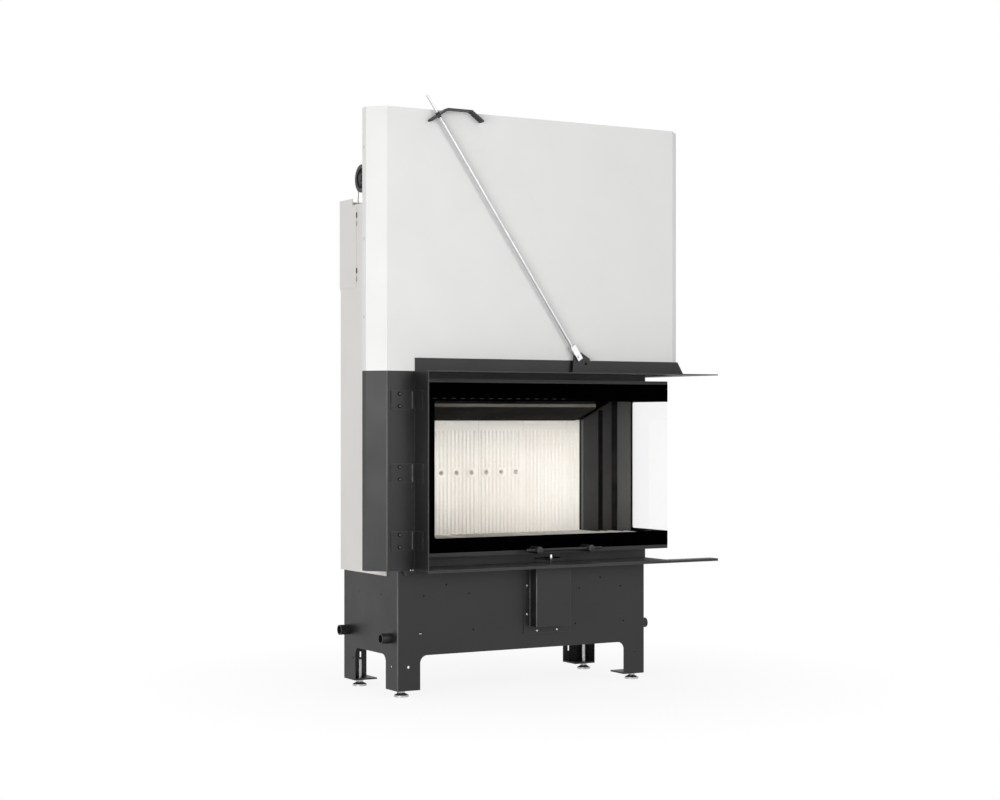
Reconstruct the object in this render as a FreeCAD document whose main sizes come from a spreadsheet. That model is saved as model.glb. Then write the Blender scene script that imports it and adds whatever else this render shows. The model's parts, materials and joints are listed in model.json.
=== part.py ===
"""Corner fireplace insert with a lifting two-sided glass door.

Places are counted in millimetres from the left end of the housing (x), from the front of the
frame (y) and from the floor (z). Every piece is then shifted so that the origin lies on the floor
under the middle of the object.
"""
import FreeCAD, Part
import math
import os

import Sketcher

# Driving dimensions, in millimetres and degrees
SIZES = {
    # sheet and plate
    "sheet": 2,
    "frame_plate": 3,
    "body_plate": 4,
    "overcut": 6,
    # levelling feet
    "foot_pad": 38,
    "foot_edge": 5,
    "foot_neck": 10,
    "foot_neck_width": 18,
    "foot_stem": 10,
    "foot_top": 70,
    "foot_clearance": 0.06,
    "foot_inset": 24,
    "foot_front": 25,
    "foot_spacing": 246,
    # base
    "base_inset": 31,
    "base_width": 762,
    "base_depth": 317,
    "base_top": 327,
    "leg_bottom": 17,
    "leg_width": 66,
    "leg_depth": 67,
    "leg_arch": 106,
    "leg_round": 20,
    "foot_plate": 4,
    "base_rim": 45,
    "tube_outer": 26.9,
    "tube_wall": 2.6,
    "tube_reach": 30,
    "tube_height": 151,
    "tube_front": 38,
    "tube_spacing": 247,
    "tube_clearance": 0.05,
    "leg_slot_width": 5,
    "leg_slot_height": 15,
    "leg_slot_low": 48,
    "leg_slot_pitch": 22,
    "leg_slot_inset": 48,
    "drill": 5,
    "drill_height": 260,
    "drill_outer": 304,
    "drill_inner": 170,
    "drill_high_height": 286,
    "drill_high": 238,
    "drill_low_height": 165,
    "drill_low_outer": 314,
    "drill_low_inner": 158,
    "side_drill_front": 94,
    "side_drill_spacing": 132,
    "leg_drill": 7,
    "leg_drill_height": 78,
    "leg_drill_reach": 349,
    "leg_drill_side": 37,
    "leg_drill_spacing": 225,
    # air box and air inlet
    "air_box_left": 395,
    "air_box_width": 107,
    "air_box_depth": 35,
    "air_box_bottom": 165,
    "air_box_flange": 20,
    "inlet_outer": 125,
    "inlet_reach": 40,
    "inlet_flange": 165,
    "inlet_height": 215,
    # housing
    "chamfer": 40,
    "left_return": 62,
    "right_return": 262,
    "panel_width": 80,
    "jamb_depth": 44,
    "housing_top": 1518,
    # frame of the wall opening
    "frame_reach": 73,
    "frame_overhang": 63,
    "frame_side": 281,
    "frame_top": 841,
    "sill_strip": 38,
    "sill_corner": 88,
    "sill_lip": 4,
    "upstand_height": 34,
    "upstand_short": 68,
    "upstand_slope": 20,
    "bracket_leg": 69,
    "bracket_arm": 50,
    "bracket_height": 48,
    "bracket_low": 404,
    "bracket_middle": 578,
    "bracket_high": 766,
    "screw_head": 10,
    "screw_height": 3.2,
    "screw_pitch": 32,
    "screw_inset": 23,
    # tie of the frame's free corner
    "tie_x": 608,
    "tie_forward": 12,
    "tie_rise": 44,
    "tie_angle": 34.5,
    "strap_drop": 14.08,
    "rod_outer": 9,
    "rod_thread": 6,
    "rod_start": 20,
    "rod_neck": 20,
    "rod_end": 58,
    "fork_width": 16,
    "fork_tail": 10,
    "fork_length": 34,
    "fork_web": 3,
    "lug_plate": 5,
    "lug_gap": 0.5,
    "lug_left": 17,
    "lug_right": 38,
    "lug_hole_pitch": 25,
    "lug_margin": 11,
    "pin_outer": 8,
    "pin_length": 22,
    "pin_clearance": 0.08,
    "strap_plate": 5,
    "strap_width": 24,
    "strap_leg": 29,
    "strap_flat": 72,
    "strap_tail": 42,
    "strap_bend": 35,
    "strap_hole": 6.8,
    "nut_height": 5,
    "nut_across": 10,
    # door
    "door_setback": 30,
    "door_left_gap": 12,
    "door_side_setback": 36,
    "door_bottom": 356,
    "door_top": 822,
    "door_rail": 10,
    "door_top_rail": 9,
    "door_depth": 20,
    "door_side_length": 215,
    "door_tail": 45,
    "door_tail_thick": 5,
    "glass": 4,
    "rear_edge": 3,
    "handle_bar": 8.5,
    "handle_length": 234,
    "handle_pitch": 163,
    "handle_left": 453,
    "handle_height": 367,
    "handle_reach": 45,
    "handle_standoff": 19,
    "handle_bar_back": 35,
    "handle_clearance": 0.05,
    "lug_arm_thick": 6,
    "lug_arm_top": 12,
    "lug_arm_left": 82,
    "lug_arm_length": 88,
    "side_lug_width": 17,
    "side_lug_depth": 14,
    # fire chamber
    "door_gap": 14,
    "body_inset": 41,
    "body_width": 768,
    "body_depth": 262,
    "plenum_height": 27,
    "plenum_wall": 3,
    "floor_plate": 3,
    "floor_front": 8,
    "wing_reach": 28,
    "column_lap": 40,
    "column_width": 46,
    "column_top": 1290,
    "lining_floor": 40,
    "lining_back": 22,
    "lining_left": 24,
    "lining_top": 714,
    "lining_gap": 2,
    "lining_seam": 1,
    "back_panel_end": 47,
    "rib_pitch": 12.125,
    "rib_depth": 3,
    "flute_width": 9.7,
    "rib_band": 30,
    "groove_pitch": 25,
    "groove_depth": 5,
    "air_hole": 12.6,
    "air_hole_pitch": 48,
    "air_hole_height": 567,
    "bevel": 64,
    "bevel_plate": 6,
    "bevel_groove_start": 36,
    "bevel_groove_width": 10,
    "bevel_groove_depth": 3,
    "bevel_top": 712,
    "bevel_high": 768,
    "jamb_width": 28,
    "lintel_bottom": 770,
    "ledge_lap": 36,
    "chamber_top": 904,
    "baffle_front": 36,
    "baffle_rise": 36,
    "baffle_board": 8,
    "baffle_plate": 2,
    "baffle_rear_cut": 21,
    "baffle_front_cut": 77,
    "dome_foot_inset": 74,
    "dome_foot_front": 18,
    "dome_foot_back": 8,
    "dome_top": 1203,
    "dome_plate": 3,
    "dome_top_side": 214,
    "flue_seat": 1,
    "flue_outer": 200,
    "flue_wall": 3,
    "flue_top": 1365,
    "flue_x": 480,
    "flue_back": 5,
    "flue_gap": 1.5,
    "hood_top": 1288,
    # casing
    "casing_bottom": 310,
    "casing_top": 1307,
    "casing_space": 9,
    "cover_depth": 101,
    "cover_return": 43,
    "cover_bottom": 1068,
    "cover_notch": 22,
    # lifting gear
    "guide_left_depth": 12,
    "guide_left_setback": 2,
    "guide_gap": 0.8,
    "guide_top": 1500,
    "guide_foot": 30,
    "stay_low": 1400,
    "stay_height": 40,
    "guide_right_depth": 12,
    "guide_right_width": 6,
    "guide_right_gap": 1,
    "pulley_height": 1360,
    "pulley_outer": 75,
    "groove_bottom": 63.4,
    "groove_width": 4.8,
    "groove_flare": 1,
    "pulley_width": 16,
    "pulley_web": 8,
    "pulley_rim": 9,
    "pulley_hub": 22,
    "pulley_hole": 12,
    "pulley_hole_circle": 40,
    "pulley_bore_gap": 0.05,
    "pulley_side_gap": 0.5,
    "axle": 12,
    "axle_cap": 18,
    "axle_cap_height": 3,
    "cable": 4,
    "cable_circle": 68,
    "pulley_left_x": 90,
    "pulley_right_inset": 22,
    "pulley_span": 151,
    "bracket_plate": 4,
    "bracket_bottom": 1200,
    "bracket_top": 1400,
    "bracket_end": 28,
    "side_bracket_plate": 6,
    "weight_thick": 22,
    "weight_depth": 80,
    "weight_bottom": 960,
    "weight_top": 1260,
    # air control
    "lever_x": 526,
    "lever_width": 8,
    "lever_thick": 4,
    "lever_height": 338,
    "lever_front": 60,
    "lever_back": 183,
    "lever_pin": 6,
    "lever_pin_low": 331,
    "lever_pin_top": 348,
    "lever_travel": 70,
    "lever_play": 0.3,
}

# Counts and turns
LEG_SLOTS = 2
SIDE_DRILLINGS = 2
FLOOR_BOARDS = 3
BACK_BOARDS = 4
AIR_HOLES = 6
PULLEY_HOLES = 5
NUT_SIDES = 6
QUARTER_TURN = 90
HALF_TURN = 180

doc = FreeCAD.newDocument("corner_fireplace_insert")
sheet = doc.addObject("Spreadsheet::Sheet", "sizes")
for row, (alias, number) in enumerate(SIZES.items(), start=1):
    sheet.set(f"A{row}", alias)
    sheet.set(f"B{row}", str(number))
    sheet.setAlias(f"B{row}", alias)
doc.recompute()


class Size:
    """A length that carries its number and the sheet expression behind it."""

    def __init__(self, value, text):
        self.value = value
        self.text = text

    def __add__(self, other):
        other = as_size(other)
        return Size(self.value + other.value, f"({self.text} + {other.text})")

    def __radd__(self, other):
        return as_size(other) + self

    def __sub__(self, other):
        other = as_size(other)
        return Size(self.value - other.value, f"({self.text} - {other.text})")

    def __rsub__(self, other):
        return as_size(other) - self

    def __mul__(self, other):
        other = as_size(other)
        return Size(self.value * other.value, f"({self.text} * {other.text})")

    def __rmul__(self, other):
        return as_size(other) * self

    def __truediv__(self, other):
        other = as_size(other)
        return Size(self.value / other.value, f"({self.text} / {other.text})")


def as_size(thing):
    """A plain number joins in as itself."""
    if isinstance(thing, Size):
        return thing
    return Size(float(thing), f"({thing})")


def sine(angle):
    return Size(math.sin(math.radians(angle.value)), f"sin({angle.text} * 1 deg)")


def cosine(angle):
    return Size(math.cos(math.radians(angle.value)), f"cos({angle.text} * 1 deg)")


class Sheet:
    """Every alias of the sheet as a size."""

    def __init__(self):
        for alias in SIZES:
            setattr(self, alias, Size(float(sheet.get(alias)), f"sizes.{alias}"))


s = Sheet()

# Places worked out from the driving dimensions
FRONT = s.frame_reach
FRAME_LEFT = s.chamfer + s.panel_width
SILL_TOP = s.base_top + s.frame_plate
BASE_LEFT = s.chamfer + s.base_inset
BASE_RIGHT = BASE_LEFT + s.base_width
BASE_FRONT = FRONT + s.sheet
BASE_BACK = BASE_FRONT + s.base_depth
BODY_LEFT = BASE_LEFT + s.body_inset
BODY_RIGHT = BODY_LEFT + s.body_width
COLUMN_RIGHT = BODY_RIGHT + s.column_width
DOOR_LEFT = FRAME_LEFT + s.door_left_gap
DOOR_RIGHT = COLUMN_RIGHT + s.guide_right_width
HOUSING_RIGHT = DOOR_RIGHT + s.door_side_setback
FLAT_RIGHT = HOUSING_RIGHT - s.chamfer
FRAME_RIGHT = HOUSING_RIGHT + s.frame_overhang
SILL_CORNER = HOUSING_RIGHT - s.sill_corner
DOOR_FRONT = FRONT + s.door_setback
DOOR_BACK = DOOR_FRONT + s.door_depth
DOOR_END = DOOR_FRONT + s.door_side_length
PANE_LOW = s.door_bottom + s.door_rail
PANE_HIGH = s.door_top - s.door_top_rail
BODY_FRONT = DOOR_BACK + s.door_gap
BODY_BACK = BODY_FRONT + s.body_depth
PLENUM_TOP = s.base_top + s.plenum_height
FLOOR = PLENUM_TOP + s.floor_plate
COLUMN_FRONT = DOOR_END - s.column_lap
CASING_BACK = BODY_BACK + s.casing_space
LINING_BACK = BODY_BACK - s.body_plate
LINING_FACE = LINING_BACK - s.lining_back
LINING_LEFT = BODY_LEFT + s.body_plate + s.lining_left
BEVEL_LEFT = BODY_RIGHT - s.bevel
WING_RIGHT = BODY_RIGHT + s.wing_reach
CABLE_FRONT = DOOR_BACK + s.lug_arm_thick / 2
PULLEY_FRONT = CABLE_FRONT + s.cable_circle / 2
PULLEY_REAR = PULLEY_FRONT + s.pulley_span
SIDE_CABLE = DOOR_END - s.door_tail - s.side_lug_depth / 2
PULLEY_SIDE = SIDE_CABLE + s.cable_circle / 2
PULLEY_RIGHT = BODY_RIGHT + s.pulley_right_inset
FLUE_Y = (BODY_FRONT + BODY_BACK) / 2 + s.flue_back
SHIFT_X = FRAME_RIGHT / -2
SHIFT_Y = (BASE_BACK + s.inlet_reach) / -2

UPRIGHT = FreeCAD.Rotation()
ALONG_X = FreeCAD.Rotation(FreeCAD.Vector(0, 1, 0), 90)
ALONG_Y = FreeCAD.Rotation(FreeCAD.Vector(1, 0, 0), -90)
OVER_TOP = ALONG_X.multiply(FreeCAD.Rotation(FreeCAD.Vector(0, 0, 1), 90))
PLANES = {"XY": "XY_Plane", "XZ": "XZ_Plane", "YZ": "YZ_Plane"}
nodes = []


def place(piece, x, y, z):
    """Put a piece at a place counted from the left, the front and the floor."""
    for axis, size in zip("xyz", (SHIFT_X + x, SHIFT_Y + y, as_size(z))):
        piece.setExpression(f"Placement.Base.{axis}", size.text)
    return piece


def turn(piece, rotation):
    piece.Placement = FreeCAD.Placement(FreeCAD.Vector(), rotation)
    return piece


def box(name, x, y, z):
    """A block between pairs of faces: x, y and z each hold a low and a high place."""
    piece = doc.addObject("Part::Box", name)
    for side, (low, high) in zip(("Length", "Width", "Height"), (x, y, z)):
        piece.setExpression(side, (as_size(high) - low).text)
    return place(piece, x[0], y[0], z[0])


def rod(name, across, length, x, y, z, rotation=UPRIGHT):
    """A round bar of the given diameter that starts at a place and runs along one axis."""
    piece = turn(doc.addObject("Part::Cylinder", name), rotation)
    piece.setExpression("Radius", (as_size(across) / 2).text)
    piece.setExpression("Height", as_size(length).text)
    return place(piece, x, y, z)


def fuse(name, pieces):
    joined = doc.addObject("Part::MultiFuse", name)
    joined.Shapes = pieces
    return joined


def cut(name, base, tools):
    result = doc.addObject("Part::Cut", name)
    result.Base = base
    result.Tool = tools[0] if len(tools) == 1 else fuse(f"{name}_tools", tools)
    return result


def group(name, pieces):
    """Separate solids that share one node."""
    together = doc.addObject("Part::Compound", name)
    together.Links = pieces
    return together


def node(piece, label):
    piece.Label = label
    nodes.append(piece)
    return piece


def outline_sketch(body, name, plane, corners):
    """A closed outline on one of the body's own planes, every corner bound to the sheet."""
    sketch = body.newObject("Sketcher::SketchObject", f"{name}_sketch")
    features = body.Origin.OriginFeatures
    sketch.AttachmentSupport = [(next(f for f in features if f.Role == PLANES[plane]), "")]
    sketch.MapMode = "FlatFace"
    corners = [(as_size(across), as_size(up)) for across, up in corners]
    points = [FreeCAD.Vector(across.value, up.value, 0) for across, up in corners]
    count = len(points)
    for number, start in enumerate(points):
        sketch.addGeometry(Part.LineSegment(start, points[(number + 1) % count]), False)
    for number in range(count):
        sketch.addConstraint(Sketcher.Constraint("Coincident", number, 2, (number + 1) % count, 1))
    for number, (across, up) in enumerate(corners):
        for kind, size in (("DistanceX", across), ("DistanceY", up)):
            index = sketch.addConstraint(Sketcher.Constraint(kind, -1, 1, number, 1, size.value))
            sketch.setExpression(f"Constraints[{index}]", size.text)
    return sketch


def profile(name, plane, corners, low, high):
    """A folded sheet or a bar: an outline drawn out from one place to another."""
    body = doc.addObject("PartDesign::Body", f"{name}_body")
    pad = body.newObject("PartDesign::Pad", f"{name}_pad")
    pad.Profile = outline_sketch(body, name, plane, corners)
    pad.Reversed = plane == "XZ"
    pad.setExpression("Length", (as_size(high) - low).text)
    body.Tip = pad
    flat = as_size(0)
    starts = {"XY": (flat, flat, low), "XZ": (flat, low, flat), "YZ": (low, flat, flat)}
    return place(body, *starts[plane])


def turned(name, corners, x, y, z, rotation=UPRIGHT):
    """A turned piece: an outline of radius and height, taken round its own axis."""
    body = turn(doc.addObject("PartDesign::Body", f"{name}_body"), rotation)
    spin = body.newObject("PartDesign::Revolution", f"{name}_spin")
    sketch = outline_sketch(body, name, "XZ", corners)
    spin.Profile = sketch
    spin.ReferenceAxis = (sketch, ["V_Axis"])
    spin.Angle = 360
    body.Tip = spin
    return place(body, x, y, z)


def rounded(name, block, axis, radius):
    """The block with its two upper edges along one axis rounded."""
    doc.recompute()
    top = block.Shape.BoundBox.ZMax
    edges = []
    for number, edge in enumerate(block.Shape.Edges, start=1):
        along = (edge.Vertexes[1].Point - edge.Vertexes[0].Point).normalize()
        if abs(edge.CenterOfMass.z - top) < 0.01 and abs(along.dot(axis)) > 0.99:
            edges.append((number, radius.value, radius.value))
    round_block = doc.addObject("Part::Fillet", name)
    round_block.Base = block
    round_block.Edges = edges
    return round_block


def foot_places():
    """The four feet, with the words of their names."""
    columns = {"left": BASE_LEFT + s.foot_inset, "right": BASE_RIGHT - s.foot_inset}
    rows = {"front": BASE_FRONT + s.foot_front}
    rows["rear"] = rows["front"] + s.foot_spacing
    return [(f"{row}_{column}", columns[column], rows[row]) for row in rows for column in columns]


def tube_rows():
    front = BASE_FRONT + s.tube_front
    return [("front", front), ("rear", front + s.tube_spacing)]


def base_walls():
    """The folded box of the base before its openings: open below, with a rim on top."""
    hull = box("base_hull", (BASE_LEFT, BASE_RIGHT), (BASE_FRONT, BASE_BACK), (s.leg_bottom, s.base_top))
    inside = box("base_inside", (BASE_LEFT + s.sheet, BASE_RIGHT - s.sheet),
                 (BASE_FRONT + s.sheet, BASE_BACK - s.sheet),
                 (s.leg_bottom - s.overcut, s.base_top - s.sheet))
    window = box("base_window", (BASE_LEFT + s.base_rim, BASE_RIGHT - s.base_rim),
                 (BASE_FRONT + s.base_rim, BASE_BACK - s.base_rim),
                 (s.base_top - s.sheet - s.overcut, s.base_top + s.overcut))
    return hull, [inside, window]


def leg_arches():
    """The gaps between the legs, with rounded upper corners."""
    low = s.leg_bottom - s.overcut
    across = box("arch_across", (BASE_LEFT + s.leg_width, BASE_RIGHT - s.leg_width),
                 (BASE_FRONT - s.overcut, BASE_BACK + s.overcut), (low, s.leg_arch))
    along = box("arch_along", (BASE_LEFT - s.overcut, BASE_RIGHT + s.overcut),
                (BASE_FRONT + s.leg_depth, BASE_BACK - s.leg_depth), (low, s.leg_arch))
    return [rounded("arch_across_round", across, FreeCAD.Vector(0, 1, 0), s.leg_round),
            rounded("arch_along_round", along, FreeCAD.Vector(1, 0, 0), s.leg_round)]


def base_holes():
    """Holes for the tubes and the air inlet, slots in the rear legs and small holes in front."""
    length = s.base_width + 2 * s.overcut
    bore = s.tube_outer + 2 * s.tube_clearance
    holes = [rod(f"tube_hole_{word}", bore, length, BASE_LEFT - s.overcut, row, s.tube_height, ALONG_X)
             for word, row in tube_rows()]
    middle = BASE_LEFT + s.base_width / 2
    inlet_bore = s.inlet_outer - 2 * s.sheet
    holes.append(rod("inlet_hole", inlet_bore, 2 * s.overcut, middle, BASE_BACK - s.overcut, s.inlet_height,
                     ALONG_Y))
    for side, x in (("left", BASE_LEFT + s.leg_slot_inset), ("right", BASE_RIGHT - s.leg_slot_inset)):
        for level in range(LEG_SLOTS):
            low = s.leg_slot_low + s.leg_slot_pitch * level
            holes.append(box(f"leg_slot_{side}_{level}", (x - s.leg_slot_width / 2, x + s.leg_slot_width / 2),
                             (BASE_BACK - s.overcut, BASE_BACK + s.overcut), (low, low + s.leg_slot_height)))
    return holes


def base_drillings():
    """Small round holes in the front, in both sides and in the legs."""
    middle = BASE_LEFT + s.base_width / 2
    front = [(s.drill_outer, s.drill_height, s.drill), (s.drill_inner, s.drill_height, s.drill),
             (s.drill_high, s.drill_high_height, s.drill), (s.drill_low_outer, s.drill_low_height, s.drill),
             (s.drill_low_inner, s.drill_low_height, s.drill),
             (s.leg_drill_reach, s.leg_drill_height, s.leg_drill)]
    holes = []
    for number, (reach, height, across) in enumerate(front):
        for side in (-1, 1):
            holes.append(rod(f"front_drilling_{number}_{side + 1}", across, 2 * s.overcut,
                             middle + reach * side, BASE_FRONT - s.overcut, height, ALONG_Y))
    sides = [(s.side_drill_front, s.side_drill_spacing, s.drill_height, s.drill),
             (s.leg_drill_side, s.leg_drill_spacing, s.leg_drill_height, s.leg_drill)]
    for number, (first, spacing, height, across) in enumerate(sides):
        for step in range(SIDE_DRILLINGS):
            holes.append(rod(f"side_drilling_{number}_{step}", across, s.base_width + 2 * s.overcut,
                             BASE_LEFT - s.overcut, BASE_FRONT + first + spacing * step, height, ALONG_X))
    return holes


def base_frame():
    hull, hollows = base_walls()
    walls = cut("base_walls", hull, hollows + leg_arches() + base_holes() + base_drillings())
    plates = []
    for word, x, y in foot_places():
        left = BASE_LEFT + s.sheet if "left" in word else BASE_RIGHT - s.leg_width
        right = BASE_LEFT + s.leg_width if "left" in word else BASE_RIGHT - s.sheet
        front = BASE_FRONT + s.sheet if "front" in word else BASE_BACK - s.leg_depth
        back = BASE_FRONT + s.leg_depth if "front" in word else BASE_BACK - s.sheet
        plate = box(f"foot_plate_{word}", (left, right), (front, back),
                    (s.leg_bottom, s.leg_bottom + s.foot_plate))
        bore = rod(f"foot_hole_{word}", s.foot_stem + 2 * s.foot_clearance, s.foot_plate + 2 * s.overcut,
                   x, y, s.leg_bottom - s.overcut)
        plates.append(cut(f"drilled_plate_{word}", plate, [bore]))
    node(fuse("base_frame", [walls] + plates), "base_frame")


def levelling_feet():
    for word, x, y in foot_places():
        corners = [(0, 0), (s.foot_pad / 2, 0), (s.foot_pad / 2, s.foot_edge),
                   (s.foot_neck_width / 2, s.foot_neck), (s.foot_stem / 2, s.foot_neck),
                   (s.foot_stem / 2, s.foot_top), (0, s.foot_top)]
        node(turned(f"foot_{word}", corners, x, y, 0), f"foot_{word}")


def carry_tubes():
    tubes = []
    length = s.base_width + 2 * s.tube_reach
    for word, y in tube_rows():
        corners = [(s.tube_outer / 2 - s.tube_wall, 0), (s.tube_outer / 2, 0), (s.tube_outer / 2, length),
                   (s.tube_outer / 2 - s.tube_wall, length)]
        tubes.append(turned(f"tube_{word}", corners, BASE_LEFT - s.tube_reach, y, s.tube_height, ALONG_X))
    node(group("carry_tubes", tubes), "carry_tubes")


def air_box():
    left = BASE_LEFT + s.air_box_left
    right = left + s.air_box_width
    front = BASE_FRONT - s.air_box_depth
    outer = box("air_box_outer", (left, right), (front, BASE_FRONT), (s.air_box_bottom, s.base_top))
    flange = box("air_box_plate", (left - s.air_box_flange, right + s.air_box_flange),
                 (BASE_FRONT - s.sheet, BASE_FRONT), (s.air_box_bottom - s.air_box_flange, s.base_top))
    inner = box("air_box_inner", (left + s.sheet, right - s.sheet),
                (front + s.sheet, BASE_FRONT + s.overcut), (s.air_box_bottom + s.sheet, s.base_top - s.sheet))
    node(cut("air_box", fuse("air_box_hull", [outer, flange]), [inner]), "air_box")


def inlet_collar():
    bore = s.inlet_outer / 2 - s.sheet
    corners = [(bore, 0), (s.inlet_flange / 2, 0), (s.inlet_flange / 2, s.sheet),
               (s.inlet_outer / 2, s.sheet), (s.inlet_outer / 2, s.inlet_reach), (bore, s.inlet_reach)]
    collar = turned("inlet_collar", corners, BASE_LEFT + s.base_width / 2, BASE_BACK, s.inlet_height, ALONG_Y)
    node(collar, "inlet_collar")


def mitre():
    """How far a fold's inner corner moves along the sheet at a 45 degree bend."""
    return s.sheet * math.tan(math.radians(22.5))


def left_edge(end):
    """The bevelled left edge of the housing, outside then inside, as seen from above."""
    back = FRONT + s.chamfer
    outside = [(0, end), (0, back), (s.chamfer, FRONT)]
    inside = [(s.chamfer + mitre(), FRONT + s.sheet), (s.sheet, back + mitre()), (s.sheet, end)]
    return outside, inside


def left_panel():
    outside, inside = left_edge(FRONT + s.left_return)
    jamb = FRONT + s.jamb_depth
    fold = [(FRAME_LEFT, FRONT), (FRAME_LEFT, jamb), (FRAME_LEFT - s.sheet, jamb),
            (FRAME_LEFT - s.sheet, FRONT + s.sheet)]
    node(profile("left_panel", "XY", outside + fold + inside, s.base_top, s.frame_top), "left_panel")


def upper_shell():
    outside, inside = left_edge(FRONT + s.left_return)
    back = FRONT + s.chamfer
    end = FRONT + s.right_return
    right = [(FLAT_RIGHT, FRONT), (HOUSING_RIGHT, back), (HOUSING_RIGHT, end), (HOUSING_RIGHT - s.sheet, end),
             (HOUSING_RIGHT - s.sheet, back + mitre()), (FLAT_RIGHT - mitre(), FRONT + s.sheet)]
    node(profile("upper_shell", "XY", outside + right + inside, s.frame_top, s.housing_top), "upper_shell")


def wall_frame():
    """The frame that lines the opening in the wall."""
    under = s.frame_top - s.frame_plate
    left = box("frame_left", (FRAME_LEFT, FRAME_LEFT + s.frame_plate), (0, FRONT), (SILL_TOP, under))
    node(left, "frame_left")
    plate = profile("frame_top_plate", "XY",
                    [(FRAME_LEFT, 0), (FRAME_RIGHT, 0), (FRAME_RIGHT, FRONT + s.frame_side),
                     (HOUSING_RIGHT, FRONT + s.frame_side), (HOUSING_RIGHT, FRONT), (FRAME_LEFT, FRONT)],
                    under, s.frame_top)
    end = FRAME_RIGHT - s.upstand_short
    upstand = profile("upstand", "XZ",
                      [(FRAME_LEFT, s.frame_top), (end, s.frame_top),
                       (end - s.upstand_slope, s.frame_top + s.upstand_height),
                       (FRAME_LEFT, s.frame_top + s.upstand_height)],
                      FRONT - s.frame_plate, FRONT)
    node(fuse("frame_top", [plate, upstand]), "frame_top")
    sill = profile("sill_plate", "XY",
                   [(FRAME_LEFT, 0), (FRAME_RIGHT, 0), (FRAME_RIGHT, s.sill_strip),
                    (SILL_CORNER, s.sill_strip), (SILL_CORNER, BODY_FRONT), (FRAME_LEFT, BODY_FRONT)],
                   s.base_top, SILL_TOP)
    lip = box("sill_lip", (FRAME_LEFT, FRAME_RIGHT), (0, s.frame_plate), (s.base_top - s.sill_lip, s.base_top))
    node(fuse("frame_sill", [sill, lip]), "frame_sill")


def frame_brackets():
    brackets = []
    screws = []
    face = FRONT - s.frame_plate
    outer = FRAME_LEFT - s.bracket_leg
    for word, middle in (("low", s.bracket_low), ("middle", s.bracket_middle), ("high", s.bracket_high)):
        corners = [(outer, face), (FRAME_LEFT - s.frame_plate, face),
                   (FRAME_LEFT - s.frame_plate, FRONT - s.bracket_arm), (FRAME_LEFT, FRONT - s.bracket_arm),
                   (FRAME_LEFT, FRONT), (outer, FRONT)]
        brackets.append(profile(f"bracket_{word}", "XY", corners, middle - s.bracket_height / 2,
                                middle + s.bracket_height / 2))
        for side in (-1, 1):
            height = middle + s.screw_pitch * (side / 2)
            corners = [(0, 0), (s.screw_head / 2, s.screw_height / 2), (s.screw_head / 2, s.screw_height),
                       (0, s.screw_height)]
            screws.append(turned(f"screw_{word}_{side + 1}", corners, outer + s.screw_inset,
                                 face - s.screw_height, height, ALONG_Y))
    node(group("frame_brackets", brackets), "frame_brackets")
    node(group("bracket_screws", screws), "bracket_screws")


TIE_Y = FRONT - s.tie_forward
TIE_Z = s.frame_top + s.tie_rise
TIE_SPAN = (s.housing_top - s.strap_drop - TIE_Z) / cosine(s.tie_angle)


def along_tie(distance, aside=0):
    """A place on the tie: so far up its slope from the pin, and so far square to it."""
    x = s.tie_x - sine(s.tie_angle) * distance + cosine(s.tie_angle) * aside
    z = TIE_Z + cosine(s.tie_angle) * distance + sine(s.tie_angle) * aside
    return x, z


def tie_bar(name, across, start, end):
    """A round piece on the tie's axis, between two distances from the pin."""
    piece = doc.addObject("Part::Cylinder", name)
    turn(piece, FreeCAD.Rotation(FreeCAD.Vector(0, 1, 0), -s.tie_angle.value))
    piece.setExpression("Radius", (as_size(across) / 2).text)
    piece.setExpression("Height", (as_size(end) - start).text)
    x, z = along_tie(start)
    return place(piece, x, TIE_Y, z)


def nut_blank(name, start):
    """A six-sided block on the tie's axis."""
    piece = doc.addObject("Part::Prism", name)
    piece.Polygon = NUT_SIDES
    turn(piece, FreeCAD.Rotation(FreeCAD.Vector(0, 1, 0), -s.tie_angle.value))
    piece.setExpression("Circumradius", (s.nut_across / math.sqrt(NUT_SIDES / 2)).text)
    piece.setExpression("Height", s.nut_height.text)
    x, z = along_tie(start)
    return place(piece, x, TIE_Y, z)


def tie_slab(name, start, end, low_aside, high_aside, front, back):
    """A flat piece on the tie, as a four-cornered outline drawn out from front to back."""
    corners = [along_tie(start, low_aside), along_tie(start, high_aside), along_tie(end, high_aside),
               along_tie(end, low_aside)]
    return profile(name, "XZ", corners, front, back)


def tie_rod_pieces():
    thread = TIE_SPAN - s.rod_neck
    node(fuse("tie_rod", [tie_bar("rod_main", s.rod_outer, s.rod_start, thread),
                          tie_bar("rod_end", s.rod_thread, thread, TIE_SPAN + s.rod_end)]), "tie_rod")
    nuts = []
    under = TIE_SPAN - s.strap_plate / 2
    above = TIE_SPAN + s.strap_plate / 2
    for word, low in (("under", under - s.nut_height), ("above", above)):
        blank = nut_blank(f"nut_blank_{word}", low)
        bore = tie_bar(f"nut_bore_{word}", s.rod_thread, low - s.overcut, low + s.nut_height + s.overcut)
        nuts.append(cut(f"nut_{word}", blank, [bore]))
    node(group("tie_nuts", nuts), "tie_nuts")


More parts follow.
